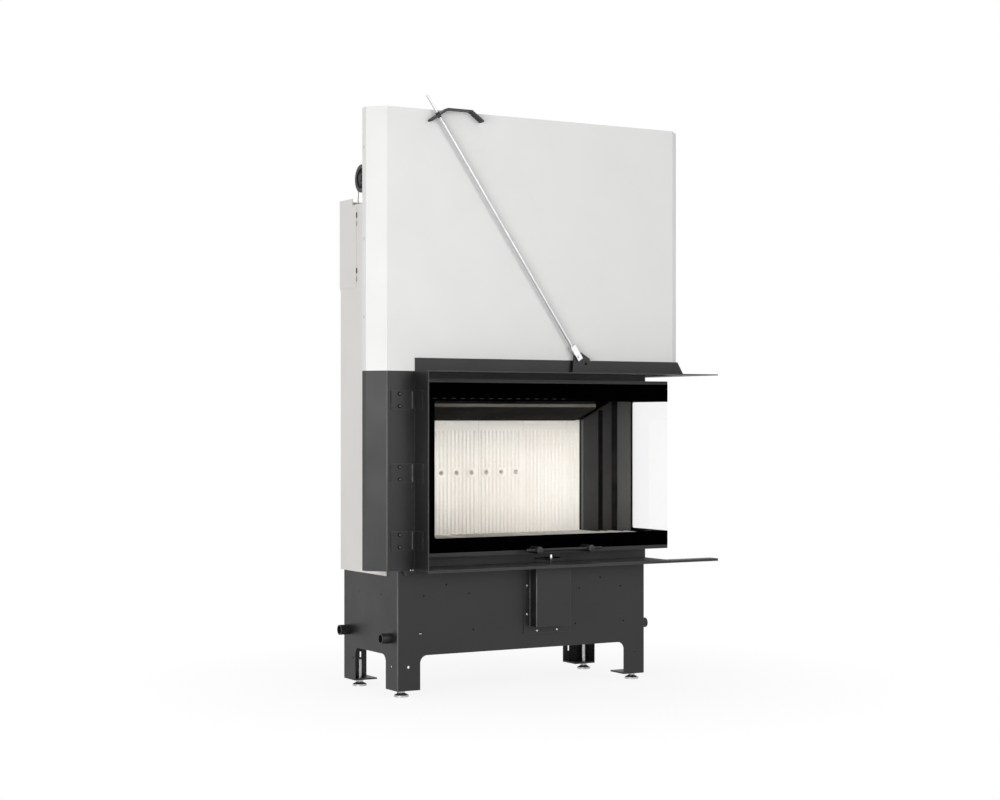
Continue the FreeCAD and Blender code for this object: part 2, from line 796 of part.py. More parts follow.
def tie_fork():
    half = s.fork_width / 2
    block = tie_slab("fork_block", s.fork_tail * -1, s.fork_length, half * -1, half, TIE_Y - half, TIE_Y + half)
    slot_half = s.lug_plate / 2 + s.lug_gap
    slot = tie_slab("fork_slot", 0 - s.fork_tail - s.overcut, s.rod_start - s.fork_web, s.fork_width * -1,
                    s.fork_width, TIE_Y - slot_half, TIE_Y + slot_half)
    bore = rod("fork_bore", s.pin_outer + 2 * s.pin_clearance, s.fork_width * 2, s.tie_x, TIE_Y - s.fork_width,
               TIE_Z, ALONG_Y)
    seat = tie_bar("fork_seat", s.rod_outer, s.rod_start, s.fork_length + s.overcut)
    node(cut("tie_clevis", block, [slot, bore, seat]), "tie_clevis")
    node(rod("clevis_pin", s.pin_outer, s.pin_length, s.tie_x, TIE_Y - s.pin_length / 2, TIE_Z, ALONG_Y),
         "clevis_pin")


def tie_lug():
    left = s.tie_x - s.lug_left
    right = s.tie_x + s.lug_right
    top = TIE_Z + s.lug_margin
    corners = [(left, s.frame_top), (right, s.frame_top), (right, TIE_Z - s.lug_margin / 2),
               (s.tie_x + s.lug_margin, top), (s.tie_x - s.lug_margin, top)]
    front = TIE_Y - s.lug_plate / 2
    plate = profile("lug_plate", "XZ", corners, front, front + s.lug_plate)
    holes = []
    for word, x, z in (("pin", s.tie_x, TIE_Z),
                       ("spare", s.tie_x + s.lug_hole_pitch, TIE_Z - s.lug_margin - s.pin_outer)):
        holes.append(rod(f"lug_hole_{word}", s.pin_outer + 2 * s.pin_clearance, s.lug_plate + 2 * s.overcut,
                         x, front - s.overcut, z, ALONG_Y))
    node(cut("tie_lug", plate, holes), "tie_lug")


def tie_strap():
    """The bent strap on top of the housing that the rod hangs from."""
    half = s.strap_plate / 2
    under = TIE_SPAN - half
    above = TIE_SPAN + half
    low_end = along_tie(under, s.strap_leg * -1)
    top_end = along_tie(above, s.strap_leg * -1)
    bend_low = along_tie(under, s.strap_leg)
    bend_top = along_tie(above, s.strap_leg)
    flat_end = bend_top[0] + s.strap_flat
    tail_x = flat_end + cosine(s.strap_bend) * s.strap_tail
    tail_z = bend_top[1] - sine(s.strap_bend) * s.strap_tail
    corners = [low_end, bend_low, (flat_end, bend_low[1]), (tail_x, tail_z - s.strap_plate),
               (tail_x, tail_z), (flat_end, bend_top[1]), bend_top, top_end]
    blank = profile("strap_blank", "XZ", corners, FRONT - s.strap_width, FRONT)
    bore = tie_bar("strap_bore", s.strap_hole, TIE_SPAN - s.overcut, TIE_SPAN + s.overcut)
    node(cut("tie_strap", blank, [bore]), "tie_strap")


def door_rail(label, low, high):
    """One rail of the door: along the front, back along the side and thin past the column."""
    inner = DOOR_RIGHT - s.door_depth
    tail = DOOR_RIGHT - s.door_tail_thick
    bend = DOOR_END - s.door_tail
    corners = [(DOOR_LEFT, DOOR_FRONT), (DOOR_RIGHT, DOOR_FRONT), (DOOR_RIGHT, DOOR_END), (tail, DOOR_END),
               (tail, bend), (inner, bend), (inner, DOOR_BACK), (DOOR_LEFT, DOOR_BACK)]
    node(profile(label, "XY", corners, low, high), label)


def door():
    door_rail("door_top_rail", PANE_HIGH, s.door_top)
    door_rail("door_bottom_rail", s.door_bottom, PANE_LOW)
    pane_back = DOOR_FRONT + s.glass
    heights = (PANE_LOW, PANE_HIGH)
    node(box("door_left_stile", (DOOR_LEFT, DOOR_LEFT + s.door_depth), (pane_back, DOOR_BACK), heights),
         "door_left_stile")
    edge_front = DOOR_END - s.rear_edge
    node(box("door_rear_edge", (DOOR_RIGHT - s.door_tail_thick, DOOR_RIGHT), (edge_front, DOOR_END), heights),
         "door_rear_edge")
    node(box("door_glass_front", (DOOR_LEFT, DOOR_RIGHT), (DOOR_FRONT, pane_back), heights),
         "door_glass_front")
    node(box("door_glass_side", (DOOR_RIGHT - s.glass, DOOR_RIGHT), (pane_back, edge_front), heights),
         "door_glass_side")


def door_handle():
    bar_y = DOOR_FRONT - s.handle_bar_back
    node(rod("handle_bar", s.handle_bar, s.handle_length, s.handle_left, bar_y, s.handle_height, ALONG_X),
         "handle_bar")
    first = s.handle_left + (s.handle_length - s.handle_pitch) / 2
    standoffs = []
    for number in range(2):
        x = first + s.handle_pitch * number
        blank = rod(f"standoff_blank_{number}", s.handle_standoff, s.handle_reach, x,
                    DOOR_FRONT - s.handle_reach, s.handle_height, ALONG_Y)
        bore = rod(f"standoff_bore_{number}", s.handle_bar + 2 * s.handle_clearance, s.handle_standoff * 2,
                   x - s.handle_standoff, bar_y, s.handle_height, ALONG_X)
        standoffs.append(cut(f"standoff_{number}", blank, [bore]))
    node(group("handle_standoffs", standoffs), "handle_standoffs")


def door_lugs():
    """The arms on the top rail that the lifting cables hold."""
    top = s.door_top + s.lug_arm_top
    left = box("lug_left", (s.lug_arm_left, s.lug_arm_left + s.lug_arm_length),
               (DOOR_BACK, DOOR_BACK + s.lug_arm_thick), (PANE_HIGH, top))
    inner = DOOR_RIGHT - s.door_depth
    bend = DOOR_END - s.door_tail
    right = box("lug_right", (inner - s.side_lug_width, inner), (bend - s.side_lug_depth, bend),
                (PANE_HIGH, top))
    node(group("door_lugs", [left, right]), "door_lugs")


def plenum():
    """The air box under the fire, with the slot of the air lever and the floor plate on top."""
    outer = box("plenum_outer", (BODY_LEFT, BODY_RIGHT), (BODY_FRONT, BODY_BACK), (s.base_top, PLENUM_TOP))
    inner = box("plenum_inner", (BODY_LEFT + s.plenum_wall, BODY_RIGHT - s.plenum_wall),
                (BODY_FRONT + s.plenum_wall, BODY_BACK - s.plenum_wall),
                (s.base_top - s.overcut, PLENUM_TOP - s.plenum_wall))
    half = s.lever_width / 2 + s.lever_play
    slot = box("lever_slot", (s.lever_x - half, s.lever_x + s.lever_travel + half),
               (BODY_FRONT - s.overcut, BODY_FRONT + s.plenum_wall + s.overcut),
               (s.lever_height - s.lever_play, s.lever_height + s.lever_thick + s.lever_play))
    floor_front = BODY_FRONT - s.floor_front
    plate = profile("plenum_floor", "XY",
                    [(BODY_LEFT + s.body_plate, floor_front), (WING_RIGHT, floor_front),
                     (WING_RIGHT, COLUMN_FRONT), (BODY_RIGHT, COLUMN_FRONT), (BODY_RIGHT, LINING_BACK),
                     (BODY_LEFT + s.body_plate, LINING_BACK)], PLENUM_TOP, FLOOR)
    node(fuse("plenum", [cut("plenum_tray", outer, [inner, slot]), plate]), "plenum")


def floor_lining():
    """Three main boards and two small ones on the right, with grooves from front to back."""
    top = FLOOR + s.lining_floor
    front = BODY_FRONT - s.floor_front + s.lining_gap
    start = LINING_LEFT + s.lining_seam
    width = (BEVEL_LEFT - start) / FLOOR_BOARDS
    boards = []
    for number in range(FLOOR_BOARDS):
        left = start + width * number
        boards.append((left, left + width - s.lining_seam, LINING_FACE))
    bevel_right = BODY_RIGHT - s.lining_gap
    boards.append((BEVEL_LEFT, bevel_right, LINING_FACE - s.bevel - s.lining_gap))
    boards.append((bevel_right, WING_RIGHT - s.lining_gap, COLUMN_FRONT - s.lining_gap))
    pieces = []
    for number, (left, right, back) in enumerate(boards):
        block = box(f"floor_board_{number}", (left, right), (front, back), (FLOOR, top))
        grooves = []
        for step in range(int((right.value - left.value) // s.groove_pitch.value)):
            middle = left + s.groove_pitch * (step + 0.5)
            grooves.append(rod(f"floor_groove_{number}_{step}", s.groove_pitch, back - front + 2 * s.overcut,
                               middle, front - s.overcut,
                               top + s.groove_pitch / 2 - s.groove_depth, ALONG_Y))
        pieces.append(cut(f"floor_grooved_{number}", block, grooves))
    node(group("floor_lining", pieces), "floor_lining")


def flutes(name, count, first, step_x, step_y, height):
    """Upright round-bottomed flutes that leave ribs between them."""
    tools = []
    for number in range(count):
        x = first[0] + step_x * number
        y = first[1] + step_y * number
        tools.append(rod(f"{name}_{number}", s.flute_width, height, x, y, FLOOR + s.lining_floor))
    return tools


def rear_lining():
    """Upright boards with flutes and a row of air holes."""
    first = LINING_LEFT + s.back_panel_end
    width = (BEVEL_LEFT - s.back_panel_end - first) / BACK_BOARDS
    edges = [LINING_LEFT]
    edges += [first + width * number for number in range(BACK_BOARDS + 1)]
    edges.append(BEVEL_LEFT)
    rib_height = s.lining_top - s.rib_band - FLOOR - s.lining_floor
    flute_y = LINING_FACE - s.flute_width / 2 + s.rib_depth
    middle = (LINING_LEFT + BEVEL_LEFT) / 2
    pieces = []
    for number, left in enumerate(edges[:-1]):
        right = edges[number + 1] - s.lining_seam
        board = box(f"back_board_{number}", (left, right), (LINING_FACE, LINING_BACK), (FLOOR, s.lining_top))
        count = int((right.value - left.value) // s.rib_pitch.value)
        tools = flutes(f"back_flute_{number}", count, (left + s.rib_pitch / 2, flute_y), s.rib_pitch,
                       0 * s.rib_pitch, rib_height)
        for step in range(AIR_HOLES):
            x = middle + s.air_hole_pitch * (step - (AIR_HOLES - 1) / 2)
            if left.value < x.value < right.value:
                tools.append(rod(f"air_hole_{step}", s.air_hole, s.lining_back + 2 * s.overcut, x,
                                 LINING_FACE - s.overcut, s.air_hole_height, ALONG_Y))
        pieces.append(cut(f"back_ribbed_{number}", board, tools))
    node(group("rear_lining", pieces), "rear_lining")


def left_lining():
    front = BODY_FRONT + s.body_plate
    board = box("left_board", (BODY_LEFT + s.body_plate, LINING_LEFT), (front, LINING_FACE),
                (FLOOR, s.lining_top))
    count = int((LINING_FACE.value - front.value) // s.rib_pitch.value)
    flute_x = LINING_LEFT + s.flute_width / 2 - s.rib_depth
    tools = flutes("left_flute", count, (flute_x, front + s.rib_pitch / 2), 0 * s.rib_pitch, s.rib_pitch,
                   s.lining_top - s.rib_band - FLOOR - s.lining_floor)
    node(cut("left_lining", board, tools), "left_lining")


def bevel_point(along, depth):
    """A place on the bevelled right wall: so far along it to the right, so deep behind its face."""
    lean = math.sqrt(0.5)
    return BEVEL_LEFT + along + as_size(depth) * lean, LINING_FACE - along + as_size(depth) * lean


def right_wall():
    start = s.bevel_groove_start
    end = start + s.bevel_groove_width
    back_left = (BEVEL_LEFT + s.bevel_plate * math.sqrt(2), LINING_FACE)
    back_right = (BODY_RIGHT, LINING_FACE - s.bevel + s.bevel_plate * math.sqrt(2))
    corners = [bevel_point(as_size(0), 0), bevel_point(start, 0), bevel_point(start, s.bevel_groove_depth),
               bevel_point(end, s.bevel_groove_depth), bevel_point(end, 0), bevel_point(s.bevel, 0),
               back_right, back_left]
    slab = profile("bevel_slab", "XY", corners, FLOOR, s.bevel_high)
    above = [(BEVEL_LEFT - s.overcut, s.bevel_top), (BEVEL_LEFT, s.bevel_top), (BODY_RIGHT, s.bevel_high),
             (BODY_RIGHT, s.bevel_high + s.overcut), (BEVEL_LEFT - s.overcut, s.bevel_high + s.overcut)]
    slope = profile("bevel_slope", "XZ", above, LINING_FACE - s.bevel - s.overcut, LINING_BACK)
    node(cut("right_wall", slab, [slope]), "right_wall")


def side_column():
    outer = box("column_outer", (BODY_RIGHT, COLUMN_RIGHT), (COLUMN_FRONT, CASING_BACK),
                (s.base_top, s.column_top))
    inner = box("column_inner", (BODY_RIGHT + s.sheet, COLUMN_RIGHT - s.sheet),
                (COLUMN_FRONT + s.sheet, CASING_BACK - s.sheet),
                (s.base_top - s.overcut, s.column_top + s.overcut))
    node(cut("side_column", outer, [inner]), "side_column")


def firebox_walls():
    heights = (PLENUM_TOP, s.hood_top)
    node(box("firebox_back", (BODY_LEFT, BODY_RIGHT), (LINING_BACK, BODY_BACK), heights), "firebox_back")
    inner_front = BODY_FRONT + s.body_plate
    node(box("firebox_left", (BODY_LEFT, BODY_LEFT + s.body_plate), (inner_front, LINING_BACK), heights),
         "firebox_left")
    jamb_right = BODY_LEFT + s.jamb_width
    corners = [(BODY_LEFT, FLOOR), (jamb_right, FLOOR), (jamb_right, s.lintel_bottom),
               (BODY_RIGHT, s.lintel_bottom), (BODY_RIGHT, s.chamber_top), (BODY_LEFT, s.chamber_top)]
    lintel = profile("lintel", "XZ", corners, BODY_FRONT, inner_front)
    ledge = box("side_ledge", (BODY_RIGHT - s.ledge_lap, WING_RIGHT),
                (inner_front, COLUMN_FRONT - s.lining_gap),
                (s.lintel_bottom, s.lintel_bottom + s.body_plate))
    node(fuse("front_frame", [lintel, ledge]), "front_frame")


def baffle_end(name, front):
    """What is cut off the right end of the smoke board, along a slant."""
    ahead = front - s.overcut
    behind = LINING_BACK + s.overcut
    rear_x = BEVEL_LEFT - s.baffle_rear_cut
    front_x = BEVEL_LEFT - s.baffle_front_cut
    corners = [(front_x, ahead), (BEVEL_LEFT + s.overcut, ahead), (BEVEL_LEFT + s.overcut, behind),
               (rear_x, behind), (rear_x, LINING_FACE), (front_x, front)]
    return profile(name, "XY", corners, s.lining_top - s.overcut,
                   s.lining_top + s.baffle_rise + s.baffle_board + s.overcut)


def baffle():
    """The sloped smoke board that rests on the linings, with a steel plate under its slope."""
    front = BODY_FRONT + s.baffle_front
    high = s.lining_top + s.baffle_rise
    top = s.lining_top + s.baffle_board
    corners = [(front, high), (LINING_FACE, s.lining_top), (LINING_BACK, s.lining_top), (LINING_BACK, top),
               (LINING_FACE + s.lining_gap, top), (front, high + s.baffle_board)]
    board = profile("smoke_board", "YZ", corners, BODY_LEFT + s.body_plate, BEVEL_LEFT)
    node(cut("baffle", board, [baffle_end("board_end", front)]), "baffle")
    low = s.lining_top + s.baffle_rise * s.lining_gap / (LINING_FACE - front)
    back = LINING_FACE - s.lining_gap
    corners = [(front, high - s.baffle_plate), (back, low - s.baffle_plate), (back, low), (front, high)]
    sheet_under = profile("baffle_sheet", "YZ", corners, LINING_LEFT + s.lining_seam, BEVEL_LEFT)
    node(cut("baffle_plate", sheet_under, [baffle_end("sheet_end", front)]), "baffle_plate")


def frustum(name, inset, low, high):
    """The tapering part of the dome, drawn in by the same inset on every side."""
    left = BODY_LEFT + s.dome_foot_inset + inset
    right = BODY_RIGHT - s.dome_foot_inset - inset
    front = BODY_FRONT + s.body_plate + s.dome_foot_front + inset
    back = LINING_BACK - s.dome_foot_back - inset
    side = s.dome_top_side / 2 - inset
    piece = doc.addObject("Part::Wedge", name)
    piece = turn(piece, FreeCAD.Rotation(FreeCAD.Vector(1, 0, 0), 90))
    bounds = {"Xmin": left, "Xmax": right, "Ymin": low, "Ymax": high, "Zmin": 0 - back, "Zmax": 0 - front,
              "X2min": s.flue_x - side, "X2max": s.flue_x + side,
              "Z2min": 0 - FLUE_Y - side, "Z2max": 0 - FLUE_Y + side}
    for bound, size in bounds.items():
        piece.setExpression(bound, as_size(size).text)
    return place(piece, 0 * s.sheet, 0 * s.sheet, 0)


def smoke_dome():
    low = s.chamber_top
    base = box("dome_base", (BODY_LEFT + s.body_plate, BODY_RIGHT), (BODY_FRONT + s.body_plate, LINING_BACK),
               (low - s.body_plate, low))
    outer = frustum("dome_outer", 0 * s.sheet, low, s.dome_top)
    inner = frustum("dome_inner", s.dome_plate, low - s.body_plate - s.overcut, s.dome_top - s.dome_plate)
    bore = s.flue_outer - 2 * s.flue_wall
    hole = rod("dome_hole", bore + 2 * s.flue_seat, 2 * s.dome_plate + s.overcut, s.flue_x, FLUE_Y,
               s.dome_top - s.dome_plate - s.overcut)
    node(cut("smoke_dome", fuse("dome_hull", [base, outer]), [inner, hole]), "smoke_dome")
    height = s.flue_top - s.dome_top
    corners = [(bore / 2, 0), (s.flue_outer / 2, 0), (s.flue_outer / 2, height), (bore / 2, height)]
    node(turned("flue_collar", corners, s.flue_x, FLUE_Y, s.dome_top), "flue_collar")


def casing():
    left = BASE_LEFT - s.sheet
    start = FRONT + s.left_return
    node(box("casing_left", (left, BASE_LEFT), (start, CASING_BACK), (s.casing_bottom, s.column_top)),
         "casing_left")
    node(box("casing_back", (left, COLUMN_RIGHT), (CASING_BACK, CASING_BACK + s.sheet),
             (s.casing_bottom, s.casing_top)), "casing_back")
    back = CASING_BACK + 2 * s.sheet
    front = back - s.cover_depth
    side = profile("cover_side", "YZ",
                   [(front, s.cover_bottom), (back, s.cover_bottom), (back, s.casing_top),
                    (front + s.cover_notch, s.casing_top),
                    (front + s.cover_notch, s.casing_top - s.cover_notch),
                    (front, s.casing_top - s.cover_notch)], left - s.sheet, left)
    flap = box("cover_flap", (left, left + s.cover_return), (CASING_BACK + s.sheet, back),
               (s.cover_bottom, s.casing_top))
    node(fuse("casing_cover", [side, flap]), "casing_cover")
    front_sheet = box("hood_front", (BODY_LEFT + s.body_plate, BODY_RIGHT), (BODY_FRONT, BODY_FRONT + s.sheet),
                      (s.chamber_top, s.hood_top))
    top_sheet = box("hood_top", (BODY_LEFT, BODY_RIGHT), (BODY_FRONT, CASING_BACK),
                    (s.hood_top, s.hood_top + s.sheet))
    hole = rod("hood_hole", s.flue_outer + 2 * s.flue_gap, s.sheet + 2 * s.overcut, s.flue_x,
               FLUE_Y, s.hood_top - s.overcut)
    node(fuse("casing_hood", [front_sheet, cut("hood_holed", top_sheet, [hole])]), "casing_hood")


def guide_rails():
    left_front = DOOR_FRONT + s.guide_left_setback
    left_rail = box("guide_left", (FRAME_LEFT, DOOR_LEFT - s.guide_gap),
                    (left_front, left_front + s.guide_left_depth), (SILL_TOP, s.guide_top))
    heights = (s.stay_low, s.stay_low + s.stay_height)
    left_stay = box("guide_left_stay", (FRAME_LEFT, DOOR_LEFT - s.guide_gap),
                    (FRONT + s.sheet, left_front), heights)
    right_front = DOOR_END + s.guide_right_gap
    right_y = (right_front, right_front + s.guide_right_depth)
    right_rail = box("guide_right", (COLUMN_RIGHT, DOOR_RIGHT), right_y,
                     (s.base_top + s.guide_foot, s.guide_top))
    right_stay = box("guide_right_stay", (DOOR_RIGHT, HOUSING_RIGHT - s.sheet), right_y, heights)
    node(group("guide_rails", [fuse("guide_left_whole", [left_rail, left_stay]),
                               fuse("guide_right_whole", [right_rail, right_stay])]), "guide_rails")


def pulley_places():
    """Each pulley's name, its place and the near face of the plate that carries it."""
    left_face = BODY_LEFT - s.bracket_plate
    right_face = COLUMN_RIGHT - s.side_bracket_plate
    return [("pulley_left_front", s.pulley_left_x, PULLEY_FRONT, left_face),
            ("pulley_left_rear", s.pulley_left_x, PULLEY_REAR, left_face),
            ("pulley_right", PULLEY_RIGHT, PULLEY_SIDE, right_face)]


def pulley_brackets():
    left = box("pulley_bracket_left", (BODY_LEFT - s.bracket_plate, BODY_LEFT),
               (PULLEY_FRONT - s.bracket_end, PULLEY_REAR + s.bracket_end), (s.bracket_bottom, s.bracket_top))
    right = box("pulley_bracket_right", (COLUMN_RIGHT - s.side_bracket_plate, COLUMN_RIGHT),
                (PULLEY_SIDE - s.bracket_end, PULLEY_SIDE + s.bracket_end), (s.column_top, s.bracket_top))
    node(group("pulley_brackets", [left, right]), "pulley_brackets")
    pins = []
    for name, x, y, face in pulley_places():
        cap = x - s.pulley_width / 2 - s.pulley_side_gap - s.axle_cap_height
        corners = [(0, 0), (s.axle_cap / 2, 0), (s.axle_cap / 2, s.axle_cap_height),
                   (s.axle / 2, s.axle_cap_height), (s.axle / 2, face - cap), (0, face - cap)]
        pins.append(turned(f"{name}_pin", corners, cap, y, s.pulley_height, ALONG_X))
    node(group("pulley_pins", pins), "pulley_pins")


def pulley_outline(hub_length):
    """Half a grooved pulley: bore, hub, thin web and rim, with the groove in the middle."""
    bore = s.axle / 2 + s.pulley_bore_gap
    outer = s.pulley_outer / 2
    groove = s.groove_bottom / 2
    rim = groove - s.pulley_rim / 2
    hub = s.pulley_hub / 2
    low_web = (s.pulley_width - s.pulley_web) / 2
    high_web = (s.pulley_width + s.pulley_web) / 2
    groove_low = (s.pulley_width - s.groove_width) / 2
    groove_high = (s.pulley_width + s.groove_width) / 2
    return [(bore, 0), (hub, 0), (hub, low_web), (rim, low_web), (rim, 0), (outer, 0),
            (outer, groove_low - s.groove_flare), (groove, groove_low), (groove, groove_high),
            (outer, groove_high + s.groove_flare), (outer, s.pulley_width),
            (rim, s.pulley_width), (rim, high_web), (hub, high_web), (hub, hub_length), (bore, hub_length)]


def pulleys():
    for name, x, y, face in pulley_places():
        low = x - s.pulley_width / 2
        wheel = turned(f"{name}_wheel", pulley_outline(face - low - s.pulley_side_gap), low, y, s.pulley_height,
                       ALONG_X)
        holes = []
        for step in range(PULLEY_HOLES):
            angle = 2 * math.pi * step / PULLEY_HOLES
            holes.append(rod(f"{name}_hole_{step}", s.pulley_hole, s.pulley_width + 2 * s.overcut,
                             low - s.overcut, y + s.pulley_hole_circle / 2 * math.cos(angle),
                             s.pulley_height + s.pulley_hole_circle / 2 * math.sin(angle), ALONG_X))
        node(cut(name, wheel, holes), name)


def counterweights():
    for word, x, y in (("left", s.pulley_left_x, PULLEY_REAR + s.cable_circle / 2),
                       ("right", PULLEY_RIGHT, PULLEY_SIDE + s.cable_circle / 2)):
        label = f"counterweight_{word}"
        node(box(label, (x - s.weight_thick / 2, x + s.weight_thick / 2),
                 (y - s.weight_depth / 2, y + s.weight_depth / 2), (s.weight_bottom, s.weight_top)), label)


def cable_run(name, x, y, low):
    return rod(name, s.cable, s.pulley_height - low, x, y, low)


def cable_arc(name, x, y, angle, extra):
    """Part of a ring of cable over a pulley, from its rear side upwards."""
    piece = turn(doc.addObject("Part::Torus", name), OVER_TOP.multiply(extra))
    piece.setExpression("Radius1", (s.cable_circle / 2).text)
    piece.setExpression("Radius2", (s.cable / 2).text)
    piece.Angle3 = angle
    return place(piece, x, y, s.pulley_height)


def cables():
    lug_top = s.door_top + s.lug_arm_top
    node(group("cable_door_runs", [cable_run("run_left", s.pulley_left_x, CABLE_FRONT, lug_top),
                                   cable_run("run_right", PULLEY_RIGHT, SIDE_CABLE, lug_top)]),
         "cable_door_runs")
    quarter = FreeCAD.Rotation(FreeCAD.Vector(0, 0, 1), QUARTER_TURN)
    top = rod("cable_top_run", s.cable, s.pulley_span, s.pulley_left_x, PULLEY_FRONT,
              s.pulley_height + s.cable_circle / 2, ALONG_Y)
    rear = cable_arc("arc_rear", s.pulley_left_x, PULLEY_REAR, QUARTER_TURN, UPRIGHT)
    front = cable_arc("arc_front", s.pulley_left_x, PULLEY_FRONT, QUARTER_TURN, quarter)
    side = cable_arc("arc_side", PULLEY_RIGHT, PULLEY_SIDE, HALF_TURN, UPRIGHT)
    node(group("cable_tops", [fuse("cable_left_top", [rear, top, front]), side]), "cable_tops")
    node(cable_run("cable_left_weight", s.pulley_left_x, PULLEY_REAR + s.cable_circle / 2, s.weight_top),
         "cable_left_weight")
    node(cable_run("cable_right_weight", PULLEY_RIGHT, PULLEY_SIDE + s.cable_circle / 2, s.weight_top),
         "cable_right_weight")


def air_lever():
    half = s.lever_width / 2
    bar = box("lever_bar", (s.lever_x - half, s.lever_x + half), (s.lever_front, s.lever_back),
              (s.lever_height, s.lever_height + s.lever_thick))
    pin = rod("lever_pin", s.lever_pin, s.lever_pin_top - s.lever_pin_low, s.lever_x, s.lever_front + half,
              s.lever_pin_low)
    node(fuse("air_lever", [bar, pin]), "air_lever")


def build():
    base_frame()
    levelling_feet()
    carry_tubes()
    air_box()
    inlet_collar()
    left_panel()
    upper_shell()
    wall_frame()
    frame_brackets()
    tie_rod_pieces()
    tie_fork()
    tie_lug()
    tie_strap()
    door()
    door_handle()
    door_lugs()
    plenum()
    floor_lining()
    rear_lining()
    left_lining()
    right_wall()
    side_column()
    firebox_walls()
    baffle()
    smoke_dome()
    casing()
    guide_rails()
    pulley_brackets()
    pulleys()
    counterweights()
    cables()
    air_lever()
    doc.recompute()


def check():
    """Stop before anything is written if an object failed or a shape is not sound."""
    for thing in doc.Objects:
        if "Invalid" in thing.State or "Error" in thing.State:
            raise RuntimeError(f"{thing.Name} failed: {thing.State}")
    for piece in nodes:
        if piece.Shape.isNull() or not piece.Shape.isValid():
            raise RuntimeError(f"{piece.Label} has no sound shape")


def write():
    os.makedirs("parts", exist_ok=True)
    for piece in nodes:
        piece.Shape.exportStep(f"parts/{piece.Label}.step")


build()
check()
write()
print(len(nodes), "pieces written")
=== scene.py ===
"""Corner fireplace insert: finishes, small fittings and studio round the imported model.

Places in the functions are millimetres from the left end of the housing, from the front of the frame
and from the floor. `spot` turns them into the row frame in metres.
"""
import json
import math

import bmesh
import bpy
import numpy as np
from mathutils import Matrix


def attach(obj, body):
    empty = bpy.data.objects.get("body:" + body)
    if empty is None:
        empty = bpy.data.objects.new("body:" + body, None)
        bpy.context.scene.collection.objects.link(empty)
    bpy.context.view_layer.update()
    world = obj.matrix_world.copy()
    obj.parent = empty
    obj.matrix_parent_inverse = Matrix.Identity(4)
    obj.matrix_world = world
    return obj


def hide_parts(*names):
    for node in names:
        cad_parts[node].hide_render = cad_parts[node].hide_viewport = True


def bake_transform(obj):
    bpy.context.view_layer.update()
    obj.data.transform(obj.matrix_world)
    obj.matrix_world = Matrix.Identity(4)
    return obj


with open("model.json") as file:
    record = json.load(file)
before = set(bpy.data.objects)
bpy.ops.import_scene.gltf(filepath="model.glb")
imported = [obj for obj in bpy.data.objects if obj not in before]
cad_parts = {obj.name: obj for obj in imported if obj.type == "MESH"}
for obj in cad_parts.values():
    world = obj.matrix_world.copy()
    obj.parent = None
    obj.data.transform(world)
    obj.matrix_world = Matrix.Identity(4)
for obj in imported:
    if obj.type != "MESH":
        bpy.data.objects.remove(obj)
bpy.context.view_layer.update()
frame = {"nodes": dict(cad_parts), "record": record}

LEFT_END = 515.5
FRONT_EDGE = 216.0
MM = 0.001

# Places taken over from the solids
BASE_FACE = 75.0
BASE_SIDE = 71.0
BASE_MIDDLE = 456.5
SHEET = 2.0
BRACKET_FACE = 70.0
COVER_FACE = 67.0
BACK_FACE = 410.0
LINING_FACE = 373.0
LINING_TOP = 713.5
BEVEL_LEFT = 816.0
BEVEL_GROOVE = (36.2, 45.8)
BEVEL_GROOVE_TOP = 742.0
SEAM_SPAN = (811.5, 815.5)
PANEL_FOLD = (40.5, 74.1)
PANEL_SPAN = (327.5, 840.5)
PANEL_FOLD_RADIUS = 1.9
FLOOR_CREST = 397.0
GROOVE_DEPTH = 5.0
GROOVE_SHADE_DEPTH = 4.0
AIR_HOLE_MIDDLE = 478.0
AIR_HOLE_PITCH = 48.0
AIR_HOLE_HEIGHT = 567.0
AIR_HOLES = 6
FLANGE_FACE = 73.0
PANE_FACE = 103.0
PANE_SIDE = 932.0
PANE_LEFT = 132.0
PANE_LOW = 366.0
PANE_HIGH = 813.0
PANE_END = 315.0
PRINT_LEFT = 194.0
PRINT_END = 278.0
PRINT_LOW = 405.0
PRINT_HIGH = 765.0
PRINT_CORNER = 6.0
PRINT_FILM = 0.25
HANDLE_HEIGHT = 367.0
HANDLE_POSTS = (488.5, 651.5)
HANDLE_ENDS = (453.0, 687.0)
PULLEY_HEIGHT = 1360.0
PULLEY_REACH = 34.0
LUG_TOP = 834.0
WEIGHT_TOP = 1260.0
CABLE_LEFT_X = 90.0
CABLE_RIGHT_X = 902.0
CABLE_FRONT = 126.0
PULLEY_FRONT = 160.0
PULLEY_REAR = 311.0
CABLE_SIDE = 266.0
PULLEY_SIDE = 300.0
FOOT_ROWS = {"front": 100.0, "rear": 346.0}
FOOT_COLUMNS = {"left": 95.0, "right": 809.0}
BRACKET_HEIGHTS = (404.0, 578.0, 766.0)
SHELL_RIVETS = (1416.0, 1180.0, 979.0)
RIVET_ROW = 125.0

AXIS_X = np.array([1.0, 0.0, 0.0])
AXIS_Y = np.array([0.0, 1.0, 0.0])
AXIS_Z = np.array([0.0, 0.0, 1.0])


def spot(places):
    """Millimetres from the left end, front and floor, as metres in the row frame."""
    return (np.asarray(places, float) - np.array([LEFT_END, FRONT_EDGE, 0.0])) * MM


# Surfaces


def ring_faces(rows, sides):
    """Four-cornered faces between each ring of points and the next, closed round the ring."""
    row, side = np.meshgrid(np.arange(rows - 1), np.arange(sides), indexing="ij")
    after = (side + 1) % sides
    low, high = row * sides, (row + 1) * sides
    return np.stack([low + side, low + after, high + after, high + side], -1).reshape(-1, 4)


def sheet_faces(rows, columns):
    """Four-cornered faces between each row of points and the next, open at both ends."""
    row, column = np.meshgrid(np.arange(rows - 1), np.arange(columns - 1), indexing="ij")
    low, high = row * columns + column, (row + 1) * columns + column
    return np.stack([low, low + 1, high + 1, high], -1).reshape(-1, 4)


